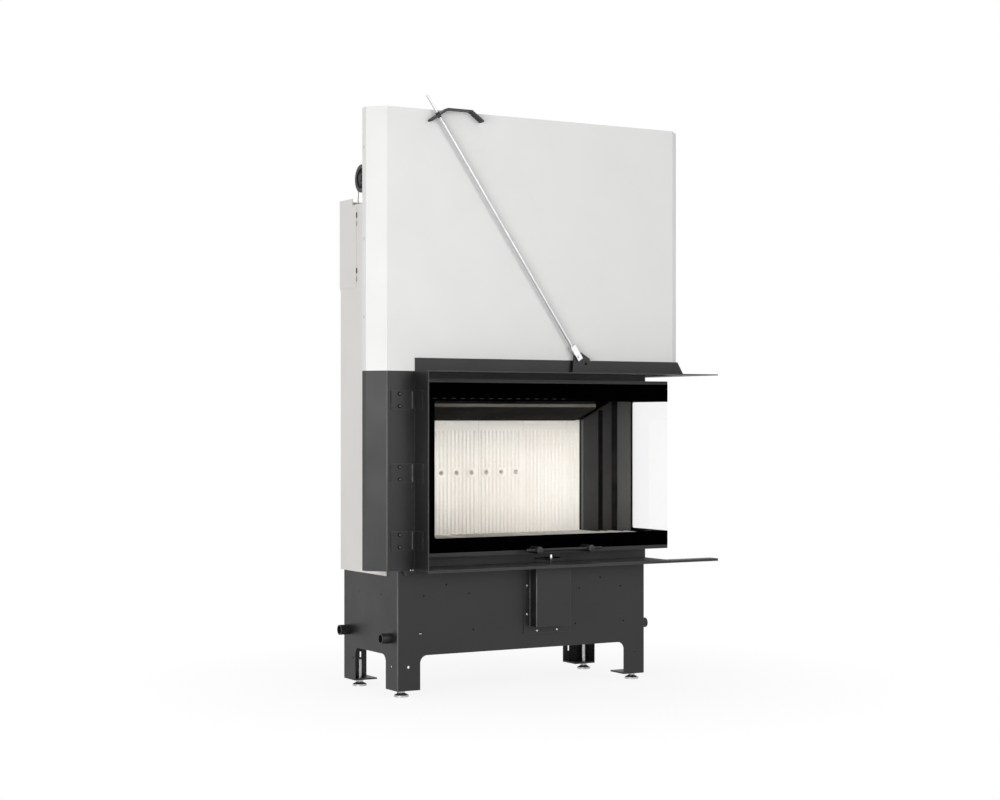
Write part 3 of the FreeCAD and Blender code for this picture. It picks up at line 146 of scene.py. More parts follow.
def square_to(axis):
    """Two directions square to an axis, so that first x second = axis."""
    helper = AXIS_Z if abs(axis[2]) < 0.9 else AXIS_X
    first = np.cross(helper, axis)
    first = first / np.linalg.norm(first)
    return first, np.cross(axis, first)


def turned(outline, centre, axis, sides=24, start=0.0):
    """An outline of (radius, height) turned round an axis: centre + height axis + radius (cos a, sin a)."""
    outline = np.asarray(outline, float)
    first, second = square_to(axis)
    angle = start + np.linspace(0.0, 2 * math.pi, sides, endpoint=False)
    around = np.cos(angle)[:, None] * first + np.sin(angle)[:, None] * second
    points = (np.asarray(centre, float) + outline[:, 1, None, None] * axis
              + outline[:, 0, None, None] * around)
    return points.reshape(-1, 3), ring_faces(len(outline), sides)


def dome(radius, height, steps=6):
    """Outline of a round head: a flat underside, then a quarter of an ellipse up to its crown."""
    angle = np.linspace(0.0, math.pi / 2, steps)
    rise = np.stack([radius * np.cos(angle), height * np.sin(angle)], -1)
    return np.vstack([[0.0, 0.0], rise])


def hexagon_block(across, height, edge):
    """Outline of a nut or bolt head with its corners taken off; turned with six sides."""
    corner = across / math.sqrt(3.0)
    return np.array([[0.0, 0.0], [corner - edge, 0.0], [corner, edge], [corner, height - edge],
                     [corner - edge, height], [0.0, height]])


def joined(parts):
    """Several surfaces as one: their points in a row, with each face's numbers moved on."""
    counts = np.cumsum([0] + [len(points) for points, _ in parts[:-1]])
    points = np.vstack([points for points, _ in parts])
    faces = np.vstack([faces + count for (_, faces), count in zip(parts, counts)])
    return points, faces


def ribbon(outer, inner):
    """A flat strip between two edges of equally many points: outer + v (inner - outer), v from 0 to 1."""
    share = np.linspace(0.0, 1.0, 3)[None, :, None]
    points = outer[:, None, :] + share * (inner - outer)[:, None, :]
    return points.reshape(-1, 3), sheet_faces(len(outer), 3)


def stranded(path, along, strands=6, sides=8, ring=1.32, strand=0.66, lay=34.0):
    """A laid cable: each strand circles the path once in every lay, at the ring's radius.

    Point = path + (ring cos t + strand cos s) e1 + (ring sin t + strand sin s) e2, with t the strand's turn,
    s the way round the strand, e1 across the pulleys and e2 square to e1 and the path.
    """
    length = np.concatenate([[0.0], np.cumsum(np.linalg.norm(np.diff(path, axis=0), axis=1))])
    number = np.arange(strands)[:, None, None]
    turn = 2 * math.pi * (length[None, :, None] / lay + number / strands)
    around = np.linspace(0.0, 2 * math.pi, sides, endpoint=False)[None, None, :]
    taper = np.ones(len(path))
    taper[[0, -1]] = 0.0
    thick = strand * taper[None, :, None]
    first = AXIS_X
    second = np.cross(along, first)
    one = ring * np.cos(turn) + thick * np.cos(around)
    two = ring * np.sin(turn) + thick * np.sin(around)
    points = path[None, :, None, :] + one[..., None] * first + two[..., None] * second[None, :, None, :]
    return joined([(points[k].reshape(-1, 3), ring_faces(len(path), sides)) for k in range(strands)])


def straight(start, end, step=3.0):
    """Points and directions along a straight run."""
    start, end = np.asarray(start, float), np.asarray(end, float)
    length = np.linalg.norm(end - start)
    share = np.linspace(0.0, 1.0, int(length / step) + 2)[:, None]
    path = start + share * (end - start)
    return path, np.repeat([(end - start) / length], len(path), axis=0)


def over_pulley(x, y, begin, finish, steps=26):
    """Points and directions round a pulley, by the angle from straight behind it, upwards."""
    angle = np.linspace(begin, finish, steps)
    path = np.stack([np.full(steps, x), y + PULLEY_REACH * np.cos(angle),
                     PULLEY_HEIGHT + PULLEY_REACH * np.sin(angle)], -1)
    way = np.sign(finish - begin)
    along = np.stack([np.zeros(steps), -way * np.sin(angle), way * np.cos(angle)], -1)
    return path, along


def put(name, surface, material, body, smooth=True):
    """Makes the surface a piece: points into the row frame, poles merged, faces outwards."""
    points, faces = surface
    mesh = bpy.data.meshes.new(name)
    mesh.from_pydata(spot(points).tolist(), [], faces.tolist())
    work = bmesh.new()
    work.from_mesh(mesh)
    bmesh.ops.remove_doubles(work, verts=work.verts, dist=1e-7)
    bmesh.ops.dissolve_degenerate(work, edges=work.edges, dist=1e-7)
    bmesh.ops.recalc_face_normals(work, faces=work.faces)
    work.to_mesh(mesh)
    work.free()
    mesh.polygons.foreach_set("use_smooth", np.full(len(mesh.polygons), smooth))
    mesh.materials.append(material)
    piece = bpy.data.objects.new(name, mesh)
    bpy.context.scene.collection.objects.link(piece)
    if body:
        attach(piece, body)
    return piece


# Finishes


class Graph:
    """A node tree with short ways to add nodes and join sockets."""

    def __init__(self, tree):
        self.tree = tree

    def add(self, kind, **values):
        """A node of a kind, with its own settings."""
        node = self.tree.nodes.new(kind)
        for key, value in values.items():
            setattr(node, key, value)
        return node

    def join(self, source, target):
        """Links one socket to another."""
        self.tree.links.new(source, target)

    def math(self, operation, first, second=None, clamp=False):
        """One sum of two numbers or sockets."""
        node = self.add("ShaderNodeMath", operation=operation, use_clamp=clamp)
        for socket, value in zip(node.inputs, (first, second)):
            if isinstance(value, bpy.types.NodeSocket):
                self.join(value, socket)
            elif value is not None:
                socket.default_value = value
        return node.outputs[0]

    def noise(self, vector, scale, detail=3.0, roughness=0.55):
        """A noise value at a vector."""
        node = self.add("ShaderNodeTexNoise")
        node.inputs["Scale"].default_value = scale
        node.inputs["Detail"].default_value = detail
        node.inputs["Roughness"].default_value = roughness
        self.join(vector, node.inputs["Vector"])
        return node.outputs["Fac"]

    def spread(self, value, low, high, to_low=0.0, to_high=1.0):
        """Maps the range low to high onto to_low to to_high, held at both ends."""
        node = self.add("ShaderNodeMapRange")
        numbers = {"From Min": low, "From Max": high, "To Min": to_low, "To Max": to_high}
        for name, number in numbers.items():
            node.inputs[name].default_value = number
        self.join(value, node.inputs["Value"])
        return node.outputs["Result"]

    def tint(self, share, first, second):
        """A colour between two, by share."""
        node = self.add("ShaderNodeMix", data_type="RGBA")
        self.join(share, node.inputs[0])
        for socket, value in ((node.inputs[6], first), (node.inputs[7], second)):
            if isinstance(value, bpy.types.NodeSocket):
                self.join(value, socket)
            else:
                socket.default_value = (*value, 1.0)
        return node.outputs[2]

    def group(self, tree, vector, **numbers):
        """A shared effect with its own numbers."""
        node = self.add("ShaderNodeGroup")
        node.node_tree = tree
        self.join(vector, node.inputs["Vector"])
        for name, number in numbers.items():
            node.inputs[name.capitalize()].default_value = number
        return node.outputs


def effect(name, numbers, outputs):
    """A new shared effect: a vector and numbers in, values out."""
    tree = bpy.data.node_groups.new(name, "ShaderNodeTree")
    tree.interface.new_socket("Vector", in_out="INPUT", socket_type="NodeSocketVector")
    for label, number in numbers.items():
        socket = tree.interface.new_socket(label, in_out="INPUT", socket_type="NodeSocketFloat")
        socket.default_value = number
    for label in outputs:
        tree.interface.new_socket(label, in_out="OUTPUT", socket_type="NodeSocketFloat")
    graph = Graph(tree)
    return tree, graph, graph.add("NodeGroupInput"), graph.add("NodeGroupOutput")


def paint_grain():
    """Fine orange peel of a sprayed coat, and slow patches of thicker and thinner paint."""
    tree, g, take, give = effect("paint_grain", {"Scale": 1.0}, ("Height", "Patch"))
    scaled = g.add("ShaderNodeVectorMath", operation="SCALE")
    g.join(take.outputs["Vector"], scaled.inputs[0])
    g.join(take.outputs["Scale"], scaled.inputs["Scale"])
    fine = g.noise(scaled.outputs[0], 900.0, 2.0)
    peel = g.noise(scaled.outputs[0], 260.0, 1.0)
    height = g.math("ADD", g.math("MULTIPLY", fine, 0.6), g.math("MULTIPLY", peel, 0.4))
    g.join(height, give.inputs["Height"])
    g.join(g.spread(g.noise(scaled.outputs[0], 7.0, 4.0), 0.35, 0.68), give.inputs["Patch"])
    return tree


def worn_and_highlit_edge():
    """Mask of the outer edges for worn paint and painted highlight: where a rounded normal leaves the true
    one, broken up by noise.
    """
    tree, g, take, give = effect("worn_and_highlit_edge", {"Radius": 0.0012}, ("Mask",))
    bevel = g.add("ShaderNodeBevel", samples=4)
    g.join(take.outputs["Radius"], bevel.inputs["Radius"])
    true = g.add("ShaderNodeNewGeometry")
    dot = g.add("ShaderNodeVectorMath", operation="DOT_PRODUCT")
    g.join(bevel.outputs["Normal"], dot.inputs[0])
    g.join(true.outputs["True Normal"], dot.inputs[1])
    edge = g.spread(dot.outputs["Value"], 0.995, 0.86)
    broken = g.spread(g.noise(take.outputs["Vector"], 60.0, 4.0), 0.3, 0.6, 0.45, 1.0)
    g.join(g.math("MULTIPLY", edge, broken), give.inputs["Mask"])
    return tree


def dust_and_top_sheen():
    """Mask of fine dust on what faces up, thicker in slow patches; where the amount is raised it also stands
    in for painted light on top faces.
    """
    tree, g, take, give = effect("dust_and_top_sheen", {"Amount": 0.3}, ("Mask",))
    true = g.add("ShaderNodeNewGeometry")
    parts = g.add("ShaderNodeSeparateXYZ")
    g.join(true.outputs["True Normal"], parts.inputs[0])
    up = g.spread(parts.outputs["Z"], 0.6, 1.0)
    patch = g.spread(g.noise(take.outputs["Vector"], 14.0, 5.0), 0.35, 0.7)
    g.join(g.math("MULTIPLY", g.math("MULTIPLY", up, patch), take.outputs["Amount"]), give.inputs["Mask"])
    return tree


def drawn_lines():
    """Fine lines along a drawn or brushed metal: noise on squeezed coordinates."""
    tree, g, take, give = effect("drawn_lines", {"Along": 4.0, "Across": 1400.0}, ("Value",))
    parts = g.add("ShaderNodeSeparateXYZ")
    g.join(take.outputs["Vector"], parts.inputs[0])
    squeezed = g.add("ShaderNodeCombineXYZ")
    g.join(g.math("MULTIPLY", parts.outputs["X"], take.outputs["Across"]), squeezed.inputs["X"])
    g.join(g.math("MULTIPLY", parts.outputs["Y"], take.outputs["Across"]), squeezed.inputs["Y"])
    g.join(g.math("MULTIPLY", parts.outputs["Z"], take.outputs["Along"]), squeezed.inputs["Z"])
    g.join(g.noise(squeezed.outputs[0], 1.0, 4.0), give.inputs["Value"])
    return tree


def left_face_shade():
    """Mask of painted shade on the faces that look left, towards the fire, broken up by slow patches."""
    tree, g, take, give = effect("left_face_shade", {}, ("Mask",))
    true = g.add("ShaderNodeNewGeometry")
    parts = g.add("ShaderNodeSeparateXYZ")
    g.join(true.outputs["True Normal"], parts.inputs[0])
    left = g.spread(parts.outputs["X"], -0.6, -0.95)
    patch = g.spread(g.noise(take.outputs["Vector"], 12.0, 4.0), 0.3, 0.6, 0.8, 1.0)
    g.join(g.math("MULTIPLY", left, patch), give.inputs["Mask"])
    return tree


def rivet_heads_and_shadows():
    """Heads of three flush rivets down the left return and a painted shadow ring round each, by the distance
    from the nearest one.
    """
    tree, g, take, give = effect("rivet_heads_and_shadows", {}, ("Head", "Shadow_ring"))
    nearest = None
    for height in SHELL_RIVETS:
        away = g.add("ShaderNodeVectorMath", operation="DISTANCE")
        g.join(take.outputs["Vector"], away.inputs[0])
        away.inputs[1].default_value = spot((0.0, RIVET_ROW, height))
        nearest = g.math("MINIMUM", nearest, away.outputs["Value"]) if nearest else away.outputs["Value"]
    g.join(g.spread(nearest, 0.0022, 0.0026, 1.0, 0.0), give.inputs["Head"])
    g.join(g.spread(nearest, 0.0036, 0.0040, 1.0, 0.0), give.inputs["Shadow_ring"])
    return tree


PAINT_GRAIN = paint_grain()
RIVET_HEADS_AND_SHADOWS = rivet_heads_and_shadows()
LEFT_FACE_SHADE = left_face_shade()
WORN_AND_HIGHLIT_EDGE = worn_and_highlit_edge()
DUST_AND_TOP_SHEEN = dust_and_top_sheen()
DRAWN_LINES = drawn_lines()


def finish_material(name):
    """An empty finish: its graph, the coordinates on the piece and its shader."""
    material = bpy.data.materials.new(name)
    material.use_nodes = True
    graph = Graph(material.node_tree)
    shader = material.node_tree.nodes["Principled BSDF"]
    place = graph.add("ShaderNodeTexCoord").outputs["Object"]
    return material, graph, shader, place


def bump(graph, shader, height, strength, distance):
    """Feeds a height into the shader's normal."""
    node = graph.add("ShaderNodeBump")
    node.inputs["Strength"].default_value = strength
    node.inputs["Distance"].default_value = distance
    graph.join(height, node.inputs["Height"])
    graph.join(node.outputs["Normal"], shader.inputs["Normal"])


def painted(name, thin, thick, bare_and_highlit, rough, gloss, dust_and_sheen, wear_and_highlight=0.8, radius=0.0012, scale=1.0, strength=0.25,
            rivets=False, painted_shade=False):
    """Sprayed paint on sheet: patchy colour, orange peel, lighter edges that are partly worn paint and
    partly painted highlight, and dust on top that also stands in for painted light where its amount is
    raised; optional painted shade on faces that look left and rivet heads with painted shadow rings.
    """
    material, g, shader, place = finish_material(name)
    grain = g.group(PAINT_GRAIN, place, scale=scale)
    edge = g.group(WORN_AND_HIGHLIT_EDGE, place, radius=radius)["Mask"]
    film = g.group(DUST_AND_TOP_SHEEN, place, amount=dust_and_sheen)["Mask"]
    colour = g.tint(grain["Patch"], thin, thick)
    # lighter edges: partly worn paint, partly painted highlight
    colour = g.tint(g.math("MULTIPLY", edge, wear_and_highlight), colour, bare_and_highlit)
    # dust on up-facing faces, partly painted light where the amount is raised
    colour = g.tint(film, colour, (0.5, 0.48, 0.45))
    # painted shade darkens the faces that look left
    if painted_shade:
        colour = g.tint(g.group(LEFT_FACE_SHADE, place)["Mask"], colour, (0.012, 0.0117, 0.011))
    # rivet heads, each with a painted shadow ring
    if rivets:
        marks = g.group(RIVET_HEADS_AND_SHADOWS, place)
        colour = g.tint(marks["Shadow_ring"], colour, (0.22, 0.22, 0.21))
        colour = g.tint(marks["Head"], colour, (0.92, 0.92, 0.92))
    g.join(colour, shader.inputs["Base Color"])
    roughness = g.spread(grain["Patch"], 0.0, 1.0, rough - 0.05, rough + 0.06)
    g.join(g.math("ADD", roughness, g.math("MULTIPLY", film, 0.3), clamp=True), shader.inputs["Roughness"])
    shader.inputs["Specular IOR Level"].default_value = gloss
    bump(g, shader, grain["Height"], strength, 0.0002)
    return material


def metal(name, dark, light, low, high, along=4.0, across=1400.0, spots=0.0):
    """Bare or plated steel: drawn lines in colour, roughness and height, with dull spots."""
    material, g, shader, place = finish_material(name)
    lines = g.group(DRAWN_LINES, place, along=along, across=across)["Value"]
    patch = g.spread(g.noise(place, 40.0, 5.0), 0.4, 0.75)
    dull = g.math("MULTIPLY", patch, spots)
    g.join(g.tint(g.math("SUBTRACT", lines, dull, clamp=True), dark, light), shader.inputs["Base Color"])
    roughness = g.math("ADD", g.spread(lines, 0.3, 0.7, low, high), g.math("MULTIPLY", dull, 0.3))
    g.join(roughness, shader.inputs["Roughness"])
    shader.inputs["Metallic"].default_value = 1.0
    bump(g, shader, lines, 0.12, 0.0001)
    return material


def fired_board(name, clean, warm, grain, deep, groove_shade_line=None):
    """Fire board: slow warm patches, fine grit and small pits; painted shade darkens the grooves under a
    given crest line.
    """
    material, g, shader, place = finish_material(name)
    patch = g.spread(g.noise(place, 9.0, 4.0), 0.35, 0.7)
    grit = g.noise(place, 700.0, 2.0)
    pits = g.add("ShaderNodeTexVoronoi")
    pits.inputs["Scale"].default_value = 420.0
    g.join(place, pits.inputs["Vector"])
    hollow = g.spread(pits.outputs["Distance"], 0.05, 0.3)
    colour = g.tint(patch, clean, warm)
    colour = g.tint(g.spread(grit, 0.62, 0.8, 0.0, 0.3), colour, grain)
    colour = g.tint(hollow, deep, colour)
    # painted shade deep in the grooves of the ribbed floor
    if groove_shade_line:
        parts = g.add("ShaderNodeSeparateXYZ")
        g.join(place, parts.inputs[0])
        below = g.spread(parts.outputs["Z"], (groove_shade_line - GROOVE_SHADE_DEPTH) * MM, groove_shade_line * MM, 0.75, 0.0)
        bottom = groove_shade_line - GROOVE_DEPTH
        above = g.spread(parts.outputs["Z"], (bottom - 1.0) * MM, bottom * MM)
        colour = g.tint(g.math("MULTIPLY", below, above), colour, (0.15, 0.145, 0.135))
    g.join(colour, shader.inputs["Base Color"])
    g.join(g.spread(grit, 0.3, 0.7, 0.78, 0.95), shader.inputs["Roughness"])
    shader.inputs["Specular IOR Level"].default_value = 0.2
    height = g.math("ADD", g.math("MULTIPLY", hollow, 0.6), g.math("MULTIPLY", grit, 0.4))
    bump(g, shader, height, 0.35, 0.0005)
    return material


def zinc_sheet():
    """Galvanised steel: flat crystals that each take the light a little differently."""
    material, g, shader, place = finish_material("galvanised_steel")
    crystals = g.add("ShaderNodeTexVoronoi")
    crystals.inputs["Scale"].default_value = 140.0
    g.join(place, crystals.inputs["Vector"])
    shade = g.add("ShaderNodeRGBToBW")
    g.join(crystals.outputs["Color"], shade.inputs[0])
    patch = g.noise(place, 12.0, 4.0)
    g.join(g.tint(g.math("MULTIPLY", shade.outputs[0], patch), (0.30, 0.31, 0.32), (0.62, 0.63, 0.65)),
           shader.inputs["Base Color"])
    g.join(g.spread(shade.outputs[0], 0.0, 1.0, 0.34, 0.56), shader.inputs["Roughness"])
    shader.inputs["Metallic"].default_value = 1.0
    bump(g, shader, shade.outputs[0], 0.1, 0.0001)
    return material


def cast_weight():
    """Raw cast iron: grainy skin with brown bloom."""
    material, g, shader, place = finish_material("raw_iron")
    skin = g.noise(place, 220.0, 6.0)
    bloom = g.spread(g.noise(place, 18.0, 5.0), 0.5, 0.75)
    colour = g.tint(skin, (0.05, 0.05, 0.052), (0.16, 0.155, 0.15))
    g.join(g.tint(g.math("MULTIPLY", bloom, 0.5), colour, (0.20, 0.09, 0.04)), shader.inputs["Base Color"])
    g.join(g.spread(skin, 0.3, 0.7, 0.55, 0.8), shader.inputs["Roughness"])
    g.join(g.spread(bloom, 0.0, 1.0, 0.8, 0.2), shader.inputs["Metallic"])
    bump(g, shader, skin, 0.4, 0.0006)
    return material


def moulded_black():
    """Black moulded plastic with a fine texture and paler rims, partly worn and partly painted highlight."""
    material, g, shader, place = finish_material("black_moulding")
    grain = g.group(PAINT_GRAIN, place, scale=1.6)
    edge = g.group(WORN_AND_HIGHLIT_EDGE, place, radius=0.001)["Mask"]
    colour = g.tint(grain["Patch"], (0.018, 0.018, 0.019), (0.03, 0.03, 0.031))
    # paler rims: partly wear, partly painted highlight
    g.join(g.tint(g.math("MULTIPLY", edge, 0.5), colour, (0.10, 0.10, 0.10)), shader.inputs["Base Color"])
    g.join(g.spread(grain["Patch"], 0.0, 1.0, 0.38, 0.52), shader.inputs["Roughness"])
    bump(g, shader, grain["Height"], 0.3, 0.0002)
    return material


def pane_glass():
    """Clear fire glass with a faint film of wipe marks; its sheen grows where it is seen at a slant."""
    material, g, shader, place = finish_material("clear_fire_glass")
    smear = g.add("ShaderNodeMapping")
    smear.inputs["Scale"].default_value = (3.0, 3.0, 9.0)
    smear.inputs["Rotation"].default_value = (0.0, math.radians(28.0), 0.0)
    g.join(place, smear.inputs["Vector"])
    film = g.spread(g.noise(smear.outputs[0], 2.2, 5.0), 0.45, 0.75)
    g.join(g.tint(film, (0.998, 0.999, 0.998), (0.985, 0.986, 0.982)), shader.inputs["Base Color"])
    g.join(g.spread(film, 0.0, 1.0, 0.0, 0.012), shader.inputs["Roughness"])
    shader.inputs["Transmission Weight"].default_value = 1.0
    shader.inputs["IOR"].default_value = 1.2
    shader.inputs["Specular IOR Level"].default_value = 0.35
    clear = g.add("ShaderNodeBsdfTransparent")
    clear.inputs["Color"].default_value = (0.992, 0.994, 0.992, 1.0)
    slant = g.add("ShaderNodeFresnel")
    slant.inputs["IOR"].default_value = 1.3
    mix = g.add("ShaderNodeMixShader")
    g.join(g.math("MULTIPLY", slant.outputs[0], 0.22), mix.inputs[0])
    g.join(clear.outputs[0], mix.inputs[1])
    g.join(shader.outputs[0], mix.inputs[2])
    g.join(mix.outputs[0], material.node_tree.nodes["Material Output"].inputs["Surface"])
    return material


def fired_print():
    """Black enamel fired onto the glass: smooth, with faint pinholes in its sheen."""
    material, g, shader, place = finish_material("black_fired_print")
    pin = g.spread(g.noise(place, 1200.0, 1.0), 0.6, 0.8)
    g.join(g.tint(pin, (0.0004, 0.0004, 0.0004), (0.002, 0.002, 0.002)), shader.inputs["Base Color"])
    g.join(g.spread(g.noise(place, 20.0, 3.0), 0.3, 0.7, 0.32, 0.45), shader.inputs["Roughness"])
    shader.inputs["Specular IOR Level"].default_value = 0.0
    bump(g, shader, pin, 0.1, 0.0001)
    return material


# Lighter black of edges: partly worn paint, partly painted highlight.
RUBBED_AND_HIGHLIT_BLACK = (0.085, 0.083, 0.080)
CREAM = ((0.95, 0.915, 0.855), (0.92, 0.875, 0.805), (0.74, 0.68, 0.58), (0.80, 0.75, 0.66))

BLACK_PAINT = painted("black_stove_paint", (0.0065, 0.0065, 0.0068), (0.0105, 0.0102, 0.0100),
                      RUBBED_AND_HIGHLIT_BLACK, 0.46, 0.44, 0.04, radius=0.0018)
# The sill: a lighter black with more dust on top, partly painted light for the sheen its top catches.
SILL_PAINT_LIT = painted("sill_stove_paint_lit", (0.0135, 0.0135, 0.0138), (0.0185, 0.0182, 0.0180),
                     RUBBED_AND_HIGHLIT_BLACK, 0.5, 0.44, 0.12, radius=0.0018)
WHITE_PAINT = painted("white_shell_paint", (0.765, 0.765, 0.757), (0.752, 0.754, 0.744),
                      (0.80, 0.80, 0.79), 0.42, 0.4, 0.06, wear_and_highlight=0.4, strength=0.08, rivets=True)
CASING_PAINT = painted("pale_casing_paint", (0.74, 0.72, 0.69), (0.72, 0.70, 0.67),
                       (0.80, 0.79, 0.77), 0.40, 0.4, 0.08, wear_and_highlight=0.4, strength=0.08)
BODY_PAINT = painted("firebox_heat_paint", (0.042, 0.0415, 0.0405), (0.054, 0.0535, 0.052),
                     (0.08, 0.08, 0.08), 0.7, 0.02, 0.03, scale=0.7, strength=0.12)
# A lighter copy of the firebox paint for the side column: painted light on its front, painted shade on its
# faces that look left.
LIT_COLUMN_PAINT = painted("lit_column_heat_paint", (0.076, 0.0755, 0.074), (0.096, 0.095, 0.093),
                       (0.12, 0.12, 0.118), 0.7, 0.02, 0.03, scale=0.7, strength=0.12, painted_shade=True)
HOLE_DARK = painted("hole_shadow", (0.002, 0.002, 0.002), (0.004, 0.004, 0.004),
                    (0.02, 0.02, 0.02), 0.8, 0.1, 0.0)
# A darker steel for the ceiling plates above the chamber and for the dashes in the print.
DARKER_STEEL = painted("darker_steel", (0.024, 0.0235, 0.022), (0.034, 0.033, 0.031),
                       (0.05, 0.049, 0.046), 0.9, 0.0, 0.0)
# Lighter black for thin strips on folds, edges and screw sockets: painted highlight.
HIGHLIGHT_BLACK_PAINT = painted("painted_highlight_black", (0.08, 0.08, 0.08), (0.11, 0.108, 0.105),
                       (0.15, 0.15, 0.15), 0.4, 0.5, 0.0)
BRIGHT_STEEL = metal("bright_zinc", (0.50, 0.50, 0.51), (0.74, 0.74, 0.75), 0.22, 0.36, spots=0.3)
FOOT_STEEL = metal("zinc_foot", (0.38, 0.37, 0.36), (0.66, 0.65, 0.64), 0.25, 0.42, along=900.0, spots=0.4)
FIRE_BOARD = fired_board("cream_fire_board", *CREAM)
FLOOR_BOARD = fired_board("floor_board_groove_shade", *CREAM, groove_shade_line=FLOOR_CREST)
# Cream fire board darkened as painted shade, for the baffle under the lintel.
SHADED_BAFFLE_BOARD = fired_board("shaded_fire_board", (0.20, 0.19, 0.165), (0.15, 0.14, 0.12), (0.10, 0.09, 0.08),
                          (0.08, 0.075, 0.065))
ZINC_SHEET = zinc_sheet()
RAW_IRON = cast_weight()
BLACK_MOULDING = moulded_black()
PANE_GLASS = pane_glass()
FIRED_PRINT = fired_print()

SLOT_FINISH = {
    "black_sheet": BLACK_PAINT,
    "white_sheet": WHITE_PAINT,
    "casing_sheet": CASING_PAINT,
    "firebox_steel": BODY_PAINT,
    "lining": FIRE_BOARD,
    "bright_steel": BRIGHT_STEEL,
    "rail_steel": ZINC_SHEET,
    "foot": FOOT_STEEL,
    "pulley": BLACK_MOULDING,
    "weight": RAW_IRON,
    "glass": PANE_GLASS,
}
NODE_FINISH = {
    "baffle": SHADED_BAFFLE_BOARD,
    "floor_lining": FLOOR_BOARD,
    "baffle_plate": DARKER_STEEL,
    "smoke_dome": DARKER_STEEL,
    "pulley_pins": BLACK_PAINT,
    "tie_nuts": BLACK_PAINT,
    "frame_sill": SILL_PAINT_LIT,
    "side_column": LIT_COLUMN_PAINT,
    "bracket_screws": HOLE_DARK,
}

for row in frame["record"]["subparts"]:
    thing = frame["nodes"][row["node"]]
    thing.data.materials.clear()
    thing.data.materials.append(NODE_FINISH.get(row["node"], SLOT_FINISH[row["material_slot"]]))


# Fittings


def lifting_cables():
    """Laid steel cables: runs to the door, over the pulleys and down to the weights."""
    runs = [straight((CABLE_LEFT_X, CABLE_FRONT, PULLEY_HEIGHT), (CABLE_LEFT_X, CABLE_FRONT, LUG_TOP)),
            straight((CABLE_RIGHT_X, CABLE_SIDE, PULLEY_HEIGHT), (CABLE_RIGHT_X, CABLE_SIDE, LUG_TOP))]
    piece = put("door_cables", joined([stranded(*run) for run in runs]), BRIGHT_STEEL, None)
    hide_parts("cable_door_runs")
    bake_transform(piece)
    front = over_pulley(CABLE_LEFT_X, PULLEY_FRONT, math.pi, math.pi / 2)
    top = straight((CABLE_LEFT_X, PULLEY_FRONT, PULLEY_HEIGHT + PULLEY_REACH),
                   (CABLE_LEFT_X, PULLEY_REAR, PULLEY_HEIGHT + PULLEY_REACH))
    rear = over_pulley(CABLE_LEFT_X, PULLEY_REAR, math.pi / 2, 0.0)
    left = tuple(np.vstack([a, b[1:], c[1:]]) for a, b, c in zip(front, top, rear))
    right = over_pulley(CABLE_RIGHT_X, PULLEY_SIDE, math.pi, 0.0, steps=52)
    piece = put("pulley_cables", joined([stranded(*left), stranded(*right)]), BRIGHT_STEEL, "housing")
    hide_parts("cable_tops")
    for side, x, y in (("left", CABLE_LEFT_X, PULLEY_REAR + PULLEY_REACH),
                       ("right", CABLE_RIGHT_X, PULLEY_SIDE + PULLEY_REACH)):
        run = straight((x, y, PULLEY_HEIGHT), (x, y, WEIGHT_TOP))
        piece = put(f"weight_cable_{side}", stranded(*run), BRIGHT_STEEL, None)
        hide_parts(f"cable_{side}_weight")
        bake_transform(piece)


def arc(centre, radius, begin, finish, steps=10):
    """Points of a quarter or other arc in a plane, as (across, up)."""
    angle = np.radians(np.linspace(begin, finish, steps))
    return np.stack([centre[0] + radius * np.cos(angle), centre[1] + radius * np.sin(angle)], -1)


def line(start, end, steps):
    """Evenly spaced points from start to end, as (across, up)."""
    share = np.linspace(0.0, 1.0, steps)[:, None]
    return np.asarray(start, float) + share * (np.asarray(end, float) - np.asarray(start, float))


def print_edges(near, far, inner_far, low, high, inner_low, inner_high, radius):
    """Outer and inner edge of a printed border that is open at its near end, corner by corner."""
    way = math.copysign(1.0, far - near)
    bend = inner_far - way * radius
    turn = 0.0 if way > 0 else 180.0
    outer = np.vstack([line((near, high), (bend, high), 40), line((bend, high), (far, high), 5),
                       line((far, high), (far, inner_high - radius), 5),
                       line((far, inner_high - radius), (far, inner_low + radius), 24),
                       line((far, inner_low + radius), (far, low), 5), line((far, low), (bend, low), 5),
                       line((bend, low), (near, low), 40)])
    inner = np.vstack([line((near, inner_high), (bend, inner_high), 40),
                       arc((bend, inner_high - radius), radius, 90.0, turn),
                       line((inner_far, inner_high - radius), (inner_far, inner_low + radius), 24),
                       arc((bend, inner_low + radius), radius, turn, 270.0 if way < 0 else -90.0),
                       line((bend, inner_low), (near, inner_low), 40)])
    return outer, inner


def glass_print():
    """The black border printed on the door's glass: three sides of the front and three of the side."""
    outer, inner = print_edges(PANE_SIDE, PANE_LEFT, PRINT_LEFT, PANE_LOW, PANE_HIGH, PRINT_LOW, PRINT_HIGH,
                               PRINT_CORNER)
    lift = [np.insert(edge, 1, PANE_FACE - PRINT_FILM, axis=1) for edge in (outer, inner)]
    front = put("front_glass_print", ribbon(*lift), FIRED_PRINT, "door", smooth=False)
    outer, inner = print_edges(PANE_FACE, PANE_END, PRINT_END, PANE_LOW, PANE_HIGH, PRINT_LOW, PRINT_HIGH,
                               PRINT_CORNER)
    lift = [np.insert(edge, 0, PANE_SIDE + PRINT_FILM, axis=1) for edge in (outer, inner)]
    side = put("side_glass_print", ribbon(*lift), FIRED_PRINT, "door", smooth=False)
    for piece in (front, side):
        wall = piece.modifiers.new("film", "SOLIDIFY")
        wall.thickness = PRINT_FILM * MM
        wall.offset = 0.0


def heads(places, axis, outline, sides=20):
    """The same turned shape at several places."""
    return joined([turned(outline, place, axis, sides) for place in places])


